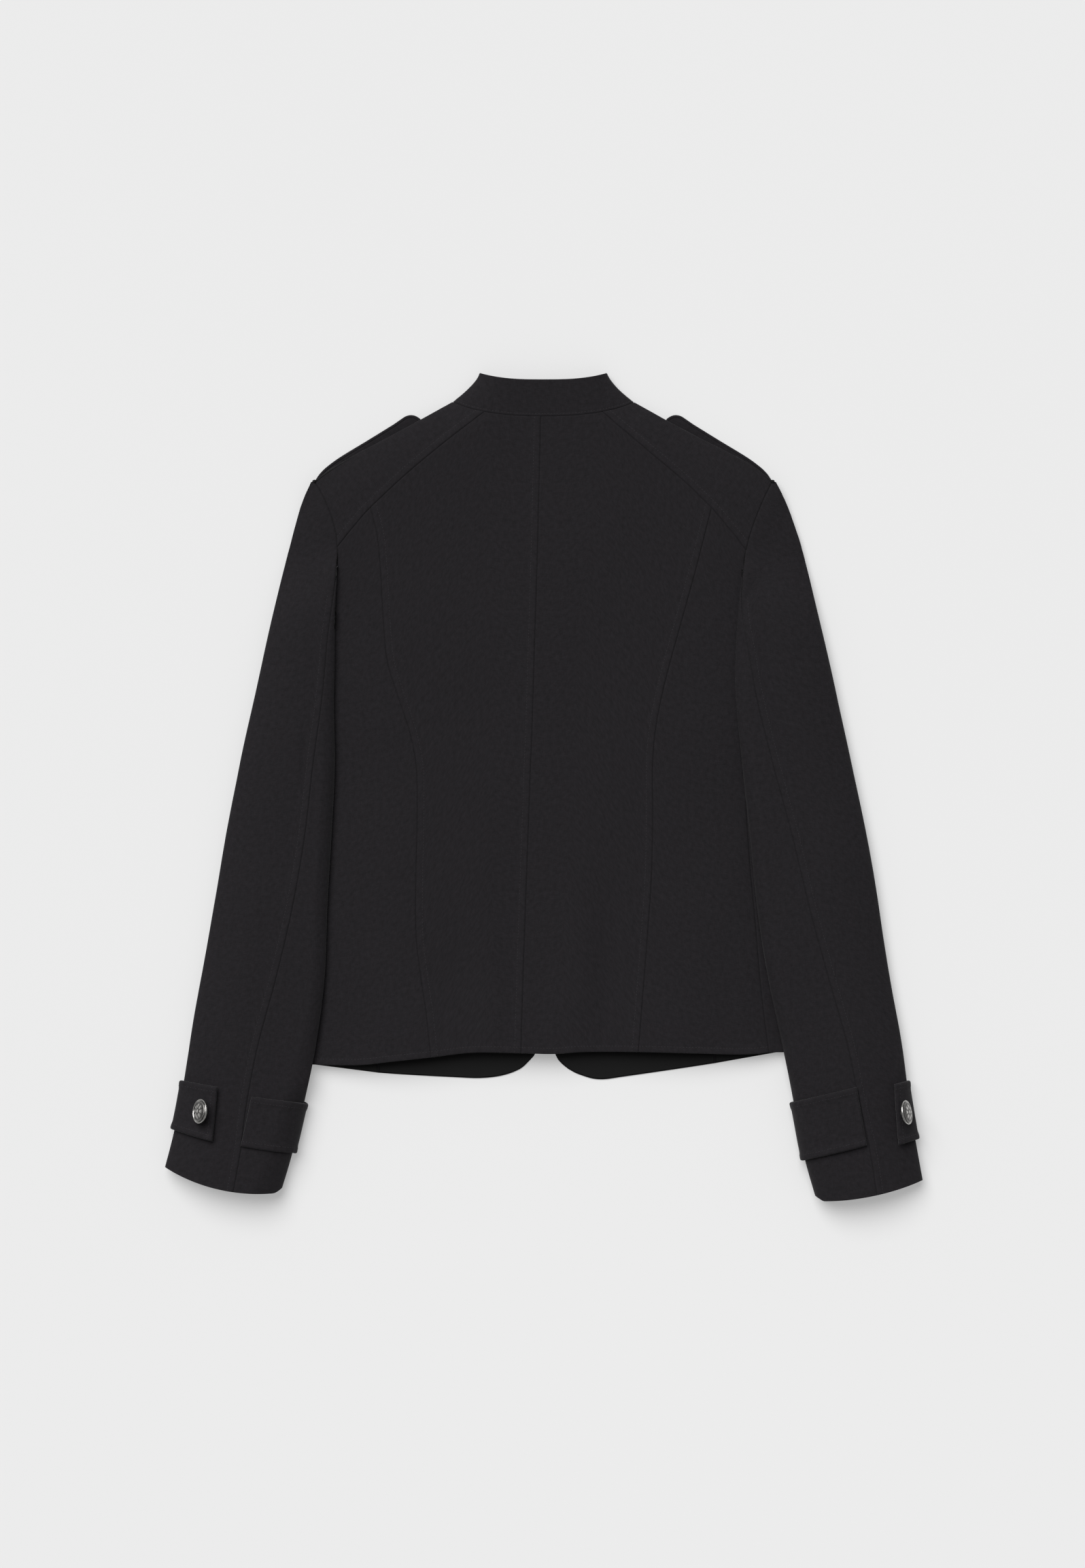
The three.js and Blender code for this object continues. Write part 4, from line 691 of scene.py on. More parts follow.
def strapSurface(side):
    # Rows run from the seam to the free end and rise to the seam on top; the free end is cut at a slant
    c = cuffStraps[side["name"]]
    middle = (c["seamTop"] + c["seamFoot"]) / 2
    start = turnOfDistance(side, middle, side["backSeam"](middle) - strapSeamGap)

    def surface(u, v):
        rise = np.maximum(0, 1 - u / strapRiseShare)
        top = mix(c["seamTop"], c["endTop"], u) - c["topRise"] * rise
        row = mix(top, mix(c["seamFoot"], c["endFoot"], u) - c["footRise"] * rise, v)
        end = turnOfPart(mix(c["end"], c["footEnd"], v)) - 2
        turn = mix(start, end, u)
        lift = strapHeight(c, turn - end)
        return sleeveAt(side, row, turn, "ring") + sleeveNormal(side, row, turn) * lift[..., None]
    return surface


# Grids: lines stand close together along an edge, at set distances from it, and evenly between

edgeSteps = np.array([0, 0.08, 0.22, 0.42, 0.7, 1.1, 1.8, 2.8, 3.9, 5.0, 6.2, 7.8])


def edgeLines(count, speedStart, speedEnd):
    # Parameter of each line, one row for each place along the edges: set distances at both ends, even between
    first = edgeSteps[None, :] / speedStart[:, None]
    last = 1 - edgeSteps[None, ::-1] / speedEnd[:, None]
    between = np.linspace(0, 1, count + 2)[1:-1]
    inner = mix(first[:, -1:], last[:, :1], between[None, :])
    return np.concatenate([first, inner, last], axis=1)


def gridOf(surface, columns, rows):
    probe = np.linspace(0, 1, 60)

    def speeds(across):
        # How many millimetres a whole parameter step is worth, close to both edges, for each place along them
        t, small = probe, 0.004
        zero, one = np.zeros_like(t), np.ones_like(t)
        if across:
            a = surface(zero + small, t) - surface(zero, t)
            b = surface(one - small, t) - surface(one, t)
        else:
            a = surface(t, zero + small) - surface(t, zero)
            b = surface(t, one - small) - surface(t, one)
        return [np.maximum(np.linalg.norm(d, axis=-1) / small, 20) for d in (a, b)]
    startU, endU = speeds(True)
    startV, endV = speeds(False)
    evenU = edgeLines(columns, np.array([startU.mean()]), np.array([endU.mean()]))[0]
    evenV = edgeLines(rows, np.array([startV.mean()]), np.array([endV.mean()]))[0]
    u = edgeLines(columns, np.interp(evenV, probe, startU), np.interp(evenV, probe, endU)).T
    v = edgeLines(rows, np.interp(evenU, probe, startV), np.interp(evenU, probe, endV))
    return u, v


def normalsOf(points):
    along, across = np.gradient(points, axis=0), np.gradient(points, axis=1)
    return unit(np.cross(along, across))


def fromEdge(points, edge):
    # Distance of every point from a line of points, and how far along that line the nearest place is
    run = runAlong(edge)
    flat = points.reshape(-1, 3)
    nearest = ((edge**2).sum(1)[None, :] - 2 * flat @ edge.T).argmin(1)
    best, place = np.full(len(flat), np.inf), np.zeros(len(flat))
    for a, b in ((np.maximum(nearest - 1, 0), nearest), (nearest, np.minimum(nearest + 1, len(edge) - 1))):
        step = edge[b] - edge[a]
        t = np.clip(((flat - edge[a]) * step).sum(1) / np.maximum((step**2).sum(1), 1e-9), 0, 1)
        away = np.linalg.norm(flat - edge[a] - t[:, None] * step, axis=1)
        closer = away < best
        best = np.where(closer, away, best)
        place = np.where(closer, mix(run[a], run[b], t), place)
    return best.reshape(points.shape[:2]), place.reshape(points.shape[:2])


# Creases: from x, y to x, y, bend, width, height (a trough is below 0), on the layer that faces up

topCreases = [
    (-203, 62, -203, -20, 2, 3.5, -0.7), (-209, 70, -207, 0, -1, 5, 0.5),
    (-184, 178, -180, 60, 3, 4, 0.5), (-196, 150, -190, 84, -2, 5, -0.4),
    (168, 138, 170, 88, 1, 4, -0.5), (176, 150, 180, 70, -1, 6, 0.5),
    (121, 143, 126, 126, 0, 3, -0.35), (150, 165, 128, 118, 4, 6, 0.35),
    (-148, -120, -134, -232, 3, 15, 1.1), (-44, -100, -42, -222, 2, 13, 0.7),
    (36, -90, 34, -222, -2, 13, 0.7), (-84, -130, -82, -222, 2, 11, -0.6),
    (2, -120, -4, -222, 0, 9, -0.5), (66, -110, 64, -222, -2, 11, -0.7),
    (172, -110, 178, -218, -3, 15, 0.7), (-112, 190, -70, 60, 10, 22, 0.6), (92, 190, 60, 70, -8, 24, 0.5),
    (300.5, -222, 298.5, -247, 0.5, 1.6, 0.9), (-262, -70, -240, -120, 3, 8, 0.45),
    (238, -30, 262, -86, -3, 9, 0.4), (-238, 108, -214, 92, 1, 7, -0.4),
    (228, 118, 205, 98, -1, 8, -0.4), (-148, 60, -118, 38, 2, 9, 0.35),
    (140, 62, 108, 36, -2, 9, 0.35), (-30, 280, 24, 274, -2, 9, 0.25),
    (-86, -60, -132, -88, 2, 10, -0.35), (80, -64, 128, -96, -2, 10, -0.35),
]
underCreases = [
    (-120, 180, -60, 120, 4, 9, 0.5), (118, 172, 66, 110, -4, 9, 0.5), (-80, 20, -150, -10, 3, 10, 0.4),
    (84, 14, 146, -22, -3, 10, 0.4), (-60, -60, -70, -200, 4, 12, 0.4), (58, -70, 72, -205, -4, 12, 0.4),
    (-236, 60, -214, -20, 2, 7, 0.6), (238, 66, 216, -12, -2, 7, 0.6), (-266, -110, -242, -190, 3, 8, 0.5),
    (270, -120, 246, -200, -3, 8, 0.5),
]
creaseFade = 0.35  # the share of a crease's length over which it fades, at each end


def creaseHeight(creases, x, y):
    # Each crease is a bell across its line and fades to nothing towards both ends
    total = np.zeros_like(x)
    for fromX, fromY, toX, toY, bend, width, height in creases:
        length = np.hypot(toX - fromX, toY - fromY)
        alongX, alongY = (toX - fromX) / length, (toY - fromY) / length
        t = ((x - fromX) * alongX + (y - fromY) * alongY) / length
        off = (x - fromX) * -alongY + (y - fromY) * alongX - bend * 4 * t * (1 - t)
        fade = ease(t / creaseFade) * ease((1 - t) / creaseFade)
        total = total + height * fade * np.exp(-(off / width) ** 2)
    return total


def unevenness(x, y):
    # Five slow waves in different directions: laid cloth is never quite flat
    waves = [(0.031, 0.012, 0.3, 0.42), (-0.017, 0.033, 1.9, 0.36), (0.058, -0.021, 4.1, 0.2),
             (0.034, 0.051, 2.6, 0.16), (-0.083, 0.035, 5.2, 0.1)]
    return sum(h * np.sin(a * x + b * y + phase) for a, b, phase, h in waves)


# Edges: how the cloth ends there. A free edge is closed round, and stitch is how far in the stitches run.

edgeKinds = {
    "seam": {"round": 1.3},
    "topstitched": {"round": 1.3, "stitch": 5.4, "band": 0.36},
    "underSeam": {"round": 1.3, "from": 26},
    "sleeveSeam": {"round": 1.3, "stitch": 5.2, "band": 0.36, "from": 100},
    "edgestitched": {"round": 1.05, "stitch": 1.9, "band": 0.1},
    "hem": {"round": 0.75, "free": True},
    "stitchedHem": {"round": 0.75, "free": True, "stitch": 4.9, "band": 0.3},
    "strapEdge": {"round": 1.7, "free": True, "stitch": 4.6, "band": 0.7},
}
sewing = {"bandSoft": 2.4, "dip": 0.24, "dipWidth": 0.9, "pucker": 0.07, "puckerWidth": 4.5, "puckerAt": 3,
          "shownOver": 14, "paintedSheenFrom": 1.5, "paintedSheenSoft": 1.4}
clothThickness = 1.2
sheets = {"turnFrom": 0.15, "turnOver": 0.5, "underShare": 0.5, "rimShare": 0.85, "thinnest": 0.1,
          "lowest": 0.05}


def turnDown(away, radius):
    # How far a rounded edge has turned down: a quarter circle, 1 at the edge and 0 one radius in
    return 1 - np.sqrt(1 - (1 - np.clip(away / radius, 0, 1)) ** 2)


def sewnShare(kind, place):
    # Some edges show their sewing only from a distance along them on, where they leave a fold
    return ease((place - kind["from"]) / sewing["shownOver"]) if "from" in kind else np.ones_like(place)


def edgeHeight(kind, away, place):
    # The edge turns down like a quarter circle. A stitched one has a low band up to its stitches, a dip along
    # them and small uneven puckers.
    c = sewing
    height = -kind["round"] * turnDown(away, kind["round"])
    if "stitch" in kind:
        beyond = away - kind["stitch"]
        sewn = sewnShare(kind, place)
        height = height + sewn * kind["band"] * (1 - ease(beyond / c["bandSoft"]))
        height = height - sewn * c["dip"] * np.exp(-(beyond / c["dipWidth"]) ** 2)
        wave = np.sin(place * 0.78) * np.sin(place * 0.213 + 1.3) + 0.5 * np.sin(place * 1.37 + 0.6)
        near = np.exp(-((away - c["puckerAt"]) / c["puckerWidth"]) ** 2)
        height = height + sewn * c["pucker"] * wave * near
    return height


def paintedSheenBand(kind, away, place):
    # The stitched band is pressed, and the shine of pressing is painted into its colour as a painted sheen: 1
    # from just inside the edge up to the stitches, 0 beyond them
    band = ease(away / sewing["paintedSheenFrom"]) * (1 - ease((away - kind["stitch"]) / sewing["paintedSheenSoft"]))
    return band * sewnShare(kind, place)


seamMeeting = 0.3  # how far the turned-down edge leans towards the piece that it is sewn to


def outwards(points, where):
    # The direction in the cloth that leaves it square over one edge
    step = {"near": points[0] - points[3], "far": points[-1] - points[-4],
            "top": points[:, 0] - points[:, 3], "bottom": points[:, -1] - points[:, -4]}[where]
    return unit(step)[None] if where in ("near", "far") else unit(step)[:, None]


def edgeOf(points, where):
    return {"near": points[0], "far": points[-1], "top": points[:, 0], "bottom": points[:, -1]}[where]


def stitchLine(points, normals, away, place, where, kind):
    # The places where the distance from the edge passes the stitches' own, one on each grid line leaving it
    at, turned = kind["stitch"], {"near": (0, 1), "far": (0, -1), "top": (1, 1), "bottom": (1, -1)}[where]
    p, n, d, s = (np.moveaxis(a, turned[0], 0)[::turned[1]] for a in (points, normals, away, place))
    i = np.maximum((d >= at).argmax(0), 1)
    j = np.arange(d.shape[1])
    t = np.clip((at - d[i - 1, j]) / np.maximum(d[i, j] - d[i - 1, j], 1e-6), 0, 1)[:, None]
    keep = (d >= at).any(0) & (np.abs(d[i, j] - at) < 3) & (s[i, j] >= kind.get("from", 0))
    return mix(p[i - 1, j], p[i, j], t)[keep], unit(mix(n[i - 1, j], n[i, j], t))[keep]


stitchLines = []


def clothWall(name, surface, columns, rows, edges, facing, creases=1, wall=None):
    # The surface's own points, moved along their normals by the creases and by what each edge does. facing is
    # a place on the grid and the direction that the normal has there, roughly.
    c = sheets
    u, v = gridOf(surface, columns, rows)
    base = surface(u, v)
    normals = normalsOf(base)
    i, j = int(facing[0] * (base.shape[0] - 1)), int(facing[1] * (base.shape[1] - 1))
    flip = -1 if normals[i, j] @ np.array(facing[2]) < 0 else 1
    normals = normals * flip
    x, y = base[..., 0], base[..., 1]
    up, down = (ease((n + c["turnFrom"]) / c["turnOver"]) for n in (normals[..., 2], -normals[..., 2]))
    height = creases * up * (creaseHeight(topCreases, x, y) + unevenness(x, y))
    height = height - creases * down * c["underShare"] * creaseHeight(underCreases, x, y)
    wall = wall(u, v) if callable(wall) else np.full(base.shape[:2], wall or clothThickness)
    stitched, meeting, paintedSheen = [], np.zeros_like(base), np.zeros(base.shape[:2])
    for where, sewn in edges.items():
        kind = edgeKinds[sewn]
        away, place = fromEdge(base, edgeOf(base, where))
        height = height + edgeHeight(kind, away, place)
        turned = turnDown(away, kind["round"])
        if "free" in kind:
            wall = wall * (1 - c["rimShare"] * turned)
        else:
            lean = seamMeeting * turned * sewnShare(kind, place)
            meeting = meeting + outwards(base, where) * lean[..., None]
        if "stitch" in kind:
            stitched.append((away, place, where, kind))
            paintedSheen = np.maximum(paintedSheen, paintedSheenBand(kind, away, place))
    outer = base + normals * height[..., None] + meeting
    outer[..., 2] = np.maximum(outer[..., 2], c["lowest"])
    normals = normalsOf(outer) * flip
    inner = outer - normals * np.maximum(wall, c["thinnest"])[..., None]
    inner[..., 2] = np.maximum(inner[..., 2], c["lowest"])
    for away, place, where, kind in stitched:
        stitchLines.append(stitchLine(outer, normals, away, place, where, kind))
    return closedWall(name, outer, inner, flip, paintedSheen)


def closedWall(name, outer, inner, flip, paintedSheen):
    # Two sheets of quads and a rim round all four edges
    n, m = outer.shape[:2]
    points = toMetres(np.concatenate([outer.reshape(-1, 3), inner.reshape(-1, 3)]))
    index = np.arange(n * m).reshape(n, m)
    a, b, c, d = index[:-1, :-1], index[1:, :-1], index[1:, 1:], index[:-1, 1:]
    sheet = np.stack([a, b, c, d], -1).reshape(-1, 4)
    loop = np.concatenate([index[:-1, 0], index[-1, :-1], index[:0:-1, -1], index[0, :0:-1]])
    nextLoop = np.roll(loop, -1)
    rim = np.stack([nextLoop, loop, loop + n * m, nextLoop + n * m], -1)
    faces = np.concatenate([sheet, sheet[:, ::-1] + n * m, rim])
    if flip < 0:
        faces = faces[:, ::-1]
    mesh = meshOf(name, points, faces)
    inside = np.zeros(len(faces), np.int32)
    inside[len(sheet):2 * len(sheet)] = 1
    mesh.polygons.foreach_set("material_index", inside)
    along, across = runAlong(outer), runAlong(outer.swapaxes(0, 1)).T
    along = along - along[n // 2][None, :]
    uv = np.stack([along, across], -1).reshape(-1, 2) / 1000
    uv = np.concatenate([uv, uv])
    layer = mesh.uv_layers.new(name="cloth")
    layer.data.foreach_set("uv", uv[faces.reshape(-1)].reshape(-1))
    # The pressed bands' painted sheen, kept on the points for the material
    band = mesh.attributes.new("paintedSheen", "FLOAT", "POINT")
    band.data.foreach_set("value", np.tile(paintedSheen.reshape(-1), 2).astype(np.float32))
    return addObject(name, mesh)


def meshOf(name, points, faces):
    mesh = bpy.data.meshes.new(name)
    mesh.vertices.add(len(points))
    mesh.vertices.foreach_set("co", np.ascontiguousarray(points, np.float32).reshape(-1))
    mesh.loops.add(faces.size)
    mesh.loops.foreach_set("vertex_index", faces.reshape(-1).astype(np.int32))
    mesh.polygons.add(len(faces))
    mesh.polygons.foreach_set("loop_start", np.arange(0, faces.size, faces.shape[1], dtype=np.int32))
    mesh.polygons.foreach_set("use_smooth", np.ones(len(faces), bool))
    mesh.update(calc_edges=True)
    mesh.validate()
    return mesh


def addObject(name, mesh):
    piece = bpy.data.objects.new(name, mesh)
    bpy.context.scene.collection.objects.link(piece)
    return piece


# Materials

def feed(tree, made, inputs):
    # Into each input a constant, or a link from another node's output
    for key, value in inputs.items():
        if isinstance(value, bpy.types.NodeSocket):
            tree.links.new(value, made.inputs[key])
        else:
            made.inputs[key].default_value = value


def newMaterial(name, constants):
    material = bpy.data.materials.new(name)
    material.use_nodes = True
    shader = material.node_tree.nodes["Principled BSDF"]
    feed(material.node_tree, shader, constants)
    return material, material.node_tree, shader


def node(tree, kind, inputs=None, **settings):
    made = tree.nodes.new(kind)
    for key, value in settings.items():
        setattr(made, key, value)
    feed(tree, made, inputs or {})
    return made


def colourMix(tree, factor, dark, light):
    # The colour mix node's own sockets: 6 and 7 take the colours, and output 2 gives the mixed one
    made = node(tree, "ShaderNodeMix", {"Factor": factor, 6: (*dark, 1), 7: (*light, 1)}, data_type="RGBA")
    return made.outputs[2]


def clothGrain():
    # Two sets of threads, each a noise drawn out along its thread, and a slow mottle over both
    group = bpy.data.node_groups.new("clothGrain", "ShaderNodeTree")
    newSocket = group.interface.new_socket
    newSocket(name="Surface", in_out="INPUT", socket_type="NodeSocketVector")
    for name, value in (("Threads", 900.0), ("Draw", 0.14), ("Mottle", 170.0)):
        newSocket(name=name, in_out="INPUT", socket_type="NodeSocketFloat").default_value = value
    for name in ("Tone", "Relief"):
        newSocket(name=name, in_out="OUTPUT", socket_type="NodeSocketFloat")
    given = node(group, "NodeGroupInput").outputs
    layers = {}
    for number, (drawn, other) in enumerate(("XY", "YX")):
        squeeze = node(group, "ShaderNodeCombineXYZ", {drawn: given["Draw"], other: 1, "Z": 1})
        scaled = node(group, "ShaderNodeVectorMath", {0: given["Surface"], 1: squeeze.outputs[0]},
                      operation="MULTIPLY")
        noise = node(group, "ShaderNodeTexNoise", {
            "Vector": scaled.outputs[0], "Scale": given["Threads"], "Detail": 2.5, "Roughness": 0.55})
        layers[number] = noise.outputs["Fac"]
    threads = node(group, "ShaderNodeMath", layers, operation="ADD")
    relief = node(group, "ShaderNodeMath", {0: threads.outputs[0], 1: 0.5}, operation="MULTIPLY").outputs[0]
    mottle = node(group, "ShaderNodeTexNoise", {
        "Vector": given["Surface"], "Scale": given["Mottle"], "Detail": 3.0, "Roughness": 0.6})
    tone = node(group, "ShaderNodeMix", {"Factor": 0.45, "A": relief, "B": mottle.outputs["Fac"]},
                data_type="FLOAT")
    node(group, "NodeGroupOutput", {"Tone": tone.outputs["Result"], "Relief": relief})
    return group


grainGroup = clothGrain()
paintedSheenShare = 0.06  # how far the pressed bands go from the dark to the light colour: a painted sheen


def clothMaterial(name, dark, light, threads, mottle, relief, roughness, constants):
    # Cloth whose colour and relief follow the grain on its own UV map, and whose pressed bands are painted
    # lighter: a painted sheen
    material, tree, shader = newMaterial(name, constants)
    surface = node(tree, "ShaderNodeUVMap", uv_map="cloth").outputs["UV"]
    grain = node(tree, "ShaderNodeGroup", {"Surface": surface, "Threads": threads, "Mottle": mottle},
                 node_tree=grainGroup).outputs
    colour = node(tree, "ShaderNodeMapRange", {"Value": grain["Tone"], "From Min": 0.36, "From Max": 0.64})
    # The pressed bands are lighter: a painted sheen mixed into the colour
    paintedSheen = node(tree, "ShaderNodeAttribute", attribute_name="paintedSheen")
    lighter = node(tree, "ShaderNodeMath", {
        0: paintedSheen.outputs["Fac"], 1: paintedSheenShare, 2: colour.outputs["Result"]}, operation="MULTIPLY_ADD")
    rough = node(tree, "ShaderNodeMapRange", {
        "Value": grain["Tone"], "To Min": roughness[0], "To Max": roughness[1]})
    bump = node(tree, "ShaderNodeBump", {"Strength": 0.6, "Distance": relief, "Height": grain["Relief"]})
    feed(tree, shader, {"Base Color": colourMix(tree, lighter.outputs[0], dark, light),
                        "Roughness": rough.outputs["Result"], "Normal": bump.outputs["Normal"]})
    return material


crepe = clothMaterial(
    "blackCrepe", dark=(0.0082, 0.0073, 0.0085), light=(0.016, 0.0143, 0.0166), threads=1500.0, mottle=260.0,
    relief=0.00025, roughness=(0.78, 0.95),
    constants={"Specular IOR Level": 0.15, "Sheen Weight": 0.11, "Sheen Roughness": 0.4})
# The inside of the cloth: a black satin lining, painted far darker than the crepe. Its darkness is partly the
# lining's own colour and partly painted shade of the hollow under the back hem.
liningAndShade = clothMaterial(
    "blackSatinAndShade", dark=(0.0012, 0.0011, 0.0012), light=(0.002, 0.0019, 0.002), threads=2600.0, mottle=120.0,
    relief=0.00008, roughness=(0.4, 0.55), constants={"Specular IOR Level": 0.155})
print("materials: cloth and lining")


# The cloth pieces: surface and grid, which way a place on the grid faces, and how each edge is sewn
clothPieces = {}
for side in (left, right):
    name = side["name"]
    isLeft = name == "left"
    onTopAt = (0.5, 0.5, (0, 0, 1))
    clothPieces.update({
        "back_" + name: {
            "surface": backSurface(side), "columns": 46, "rows": 190, "facing": onTopAt,
            "edges": {"top": "seam", "bottom": "stitchedHem", "near": "topstitched",
                      "far": "topstitched" if isLeft else "seam"}},
        "back_side_" + name: {
            "surface": backSideSurface(side), "columns": 30, "rows": 165, "facing": onTopAt,
            "edges": {"top": "seam", "bottom": "stitchedHem", "near": "seam", "far": "seam"}},
        "yoke_" + name: {
            "surface": yokeSurface(side), "columns": 56, "rows": 60, "facing": (0.5, 0.4, (0, 0, 1)),
            "edges": {"top": "topstitched", "bottom": "seam", "near": "seam", "far": "seam"}},
        "front_side_" + name: {
            "surface": sideFrontSurface(side), "columns": 50, "rows": 100, "facing": (0.9, 0.5, (0, 0, -1)),
            "edges": {"top": "seam", "bottom": "hem", "near": "seam", "far": "seam"}},
        "front_" + name: {
            "surface": frontSurface(side), "columns": 38, "rows": 120, "facing": (0.5, 0.5, (0, 0, -1)),
            "edges": {"top": "seam", "bottom": "hem", "near": "seam", "far": "hem"}},
        "sleeve_%s_upper" % name: {
            "surface": upperSleeve(side), "columns": 84, "rows": 196, "facing": (0.3, 0.6, (0, 0, 1)),
            "wall": upperSleeveWall(side),
            "edges": {"top": "seam", "bottom": "hem", "near": "sleeveSeam", "far": "seam"}},
        "sleeve_%s_under" % name: {
            "surface": underSleeve(side), "columns": 64, "rows": 190, "facing": (0.9, 0.7, (0, 0, -1)),
            "edges": {"top": "seam", "bottom": "hem", "near": "underSeam", "far": "seam"}},
        "cuff_tab_" + name: {
            "surface": strapSurface(side), "columns": 150, "rows": 24, "facing": (0.5, 0.5, (0, 0, -1)),
            "creases": 0, "wall": 2.5,
            "edges": {"top": "strapEdge", "bottom": "strapEdge", "near": "seam", "far": "strapEdge"}},
    })
clothPieces["collar_stand"] = {
    "surface": collarSurface(), "columns": 180, "rows": 16, "facing": (0.5, 0.5, (0, 0.3, 1)), "wall": 2.0,
    "edges": {"top": "edgestitched", "bottom": "hem", "near": "hem", "far": "hem"}}


def declareCloth(piece, solid):
    piece.data.materials.append(crepe)
    piece.data.materials.append(liningAndShade)
    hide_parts(solid)
    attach(piece, "root")


for solid, c in clothPieces.items():
    piece = clothWall("cloth_" + solid, c["surface"], c["columns"], c["rows"], c["edges"], c["facing"],
                      c.get("creases", 1), c.get("wall"))
    declareCloth(piece, solid)
print("cloth:", len(clothPieces), "pieces")


# Shoulder straps: a flat strap with a rolled edge, lying under the front of the shoulder

strap = {"length": 104, "foot": -32, "start": 2, "footStart": -41, "corner": 8, "stand": 9.6, "endInset": 3,
         "edge": [(2, 1.2), (7, 3.6), (14.5, 5.6), (28.5, 7.2), (56, 7.9), (82, 8.7)], "thickness": 3,
         "round": 1.45, "lineAt": 2.4, "lineDepth": 0.5, "lineWidth": 0.3, "step": 0.25, "stepAt": 2.2,
         "stepLength": 0.8, "slot": (26, 80, -15), "lowest": 0.05}


def cornerCurve(a, b, c):
    t = np.linspace(0, 1, 12)[:, None]
    return (1 - t) ** 2 * np.array(a) + 2 * t * (1 - t) * np.array(b) + t**2 * np.array(c)


def strapOutline():
    # Up the bowed outer edge, round two corners at the free end and back along the hidden edge
    c = strap
    end, top, foot, start, corner = c["length"], c["stand"], c["foot"], c["start"], c["corner"]
    outer, inset = end - corner, end - c["endInset"]
    along, stand = np.array(c["edge"]).T
    bowed = np.linspace(start, along[-1], 60)
    points = np.concatenate([
        stack(bowed, track(along, stand)(bowed)),
        cornerCurve((outer - c["endInset"], top), (inset, top), (end, top - corner)),
        cornerCurve((end, foot + corner), (end, foot), (outer, foot)),
        [(start, c["footStart"]), (start, stand[0])]])
    return alongPath(points)(np.linspace(0, 1, 361)[:-1])


def shoulderStrap(side):
    # Rings drawn in from the outline, each at its own height, then narrowing to a slot along the middle
    c, sign = strap, side["sign"]
    outline = strapOutline()
    tangent = unit(np.roll(outline, -2, axis=0) - np.roll(outline, 2, axis=0))
    inward = stack(tangent[:, 1], -tangent[:, 0])
    away = np.array([0, 0.04, 0.15, 0.35, 0.65, 1.0, 1.45, 1.9, 2.15, 2.4, 2.65, 2.9, 3.6, 5.0, 7.0])
    rounded = c["round"] * turnDown(away, c["round"])
    line = (c["lineDepth"] * np.exp(-((away - c["lineAt"]) / c["lineWidth"]) ** 2)
            + c["step"] * ease((away - c["stepAt"]) / c["stepLength"]))
    slotStart, slotEnd, slotAcross = c["slot"]
    slot = stack(np.clip(outline[:, 0], slotStart, slotEnd), slotAcross)
    rings = outline + inward * away[:, None, None]
    shares = np.array([0.25, 0.5, 0.75, 0.98])
    rings = np.concatenate([rings, mix(rings[-1], slot, shares[:, None, None])])
    level = np.concatenate([rounded + line, np.full(len(shares), line[-1])])[:, None]
    under = np.concatenate([rounded, np.zeros(len(shares))])[:, None]
    upper = stack(rings[..., 0], rings[..., 1], c["thickness"] - level)
    lower = stack(rings[..., 0], rings[..., 1], c["lowest"] + under)
    points = np.concatenate([upper[::-1], lower])
    place = np.array([sign * shoulder["pointOut"], shoulder["pointY"], 0])
    axes = np.array([[-sign * shoulderAlong, shoulderUp, 0], [sign * shoulderUp, shoulderAlong, 0],
                     [0, 0, 1]])
    name = "cloth_epaulette_" + side["name"]
    return closedTube(name, place + points @ axes, points[..., :2], inside=sign < 0)


def closedTube(name, rings, surface, inside):
    # Rings joined by quads, and the first and last closed across, each place to the one opposite
    n, m = rings.shape[:2]
    index = np.arange(n * m).reshape(n, m)
    a, b = index[:-1], index[1:]
    faces = [np.stack([a, np.roll(a, -1, 1), np.roll(b, -1, 1), b], -1).reshape(-1, 4)]
    for ring, turned in ((index[0], False), (index[-1], True)):
        one, other = ring[:m // 2], ring[m // 2:][::-1]
        cap = np.stack([one[:-1], other[:-1], other[1:], one[1:]], -1)
        faces.append(cap[:, ::-1] if turned else cap)
    faces = np.concatenate(faces)
    if inside:
        faces = faces[:, ::-1]
    mesh = meshOf(name, toMetres(rings.reshape(-1, 3)), faces)
    layer = mesh.uv_layers.new(name="cloth")
    layer.data.foreach_set("uv", (surface.reshape(-1, 2) / 1000)[faces.reshape(-1)].reshape(-1))
    return addObject(name, mesh)


for side in (left, right):
    declareCloth(shoulderStrap(side), "epaulette_" + side["name"])
print("shoulder straps: 2")


# Stitches: short rods of thread along each line, both ends dipping into the cloth

stitch = {"length": 1.7, "pitch": 2.6, "radius": 0.23, "dip": 0.26, "uneven": 0.25, "endSize": 0.6,
          "flat": 0.8}
rodPoints = 16


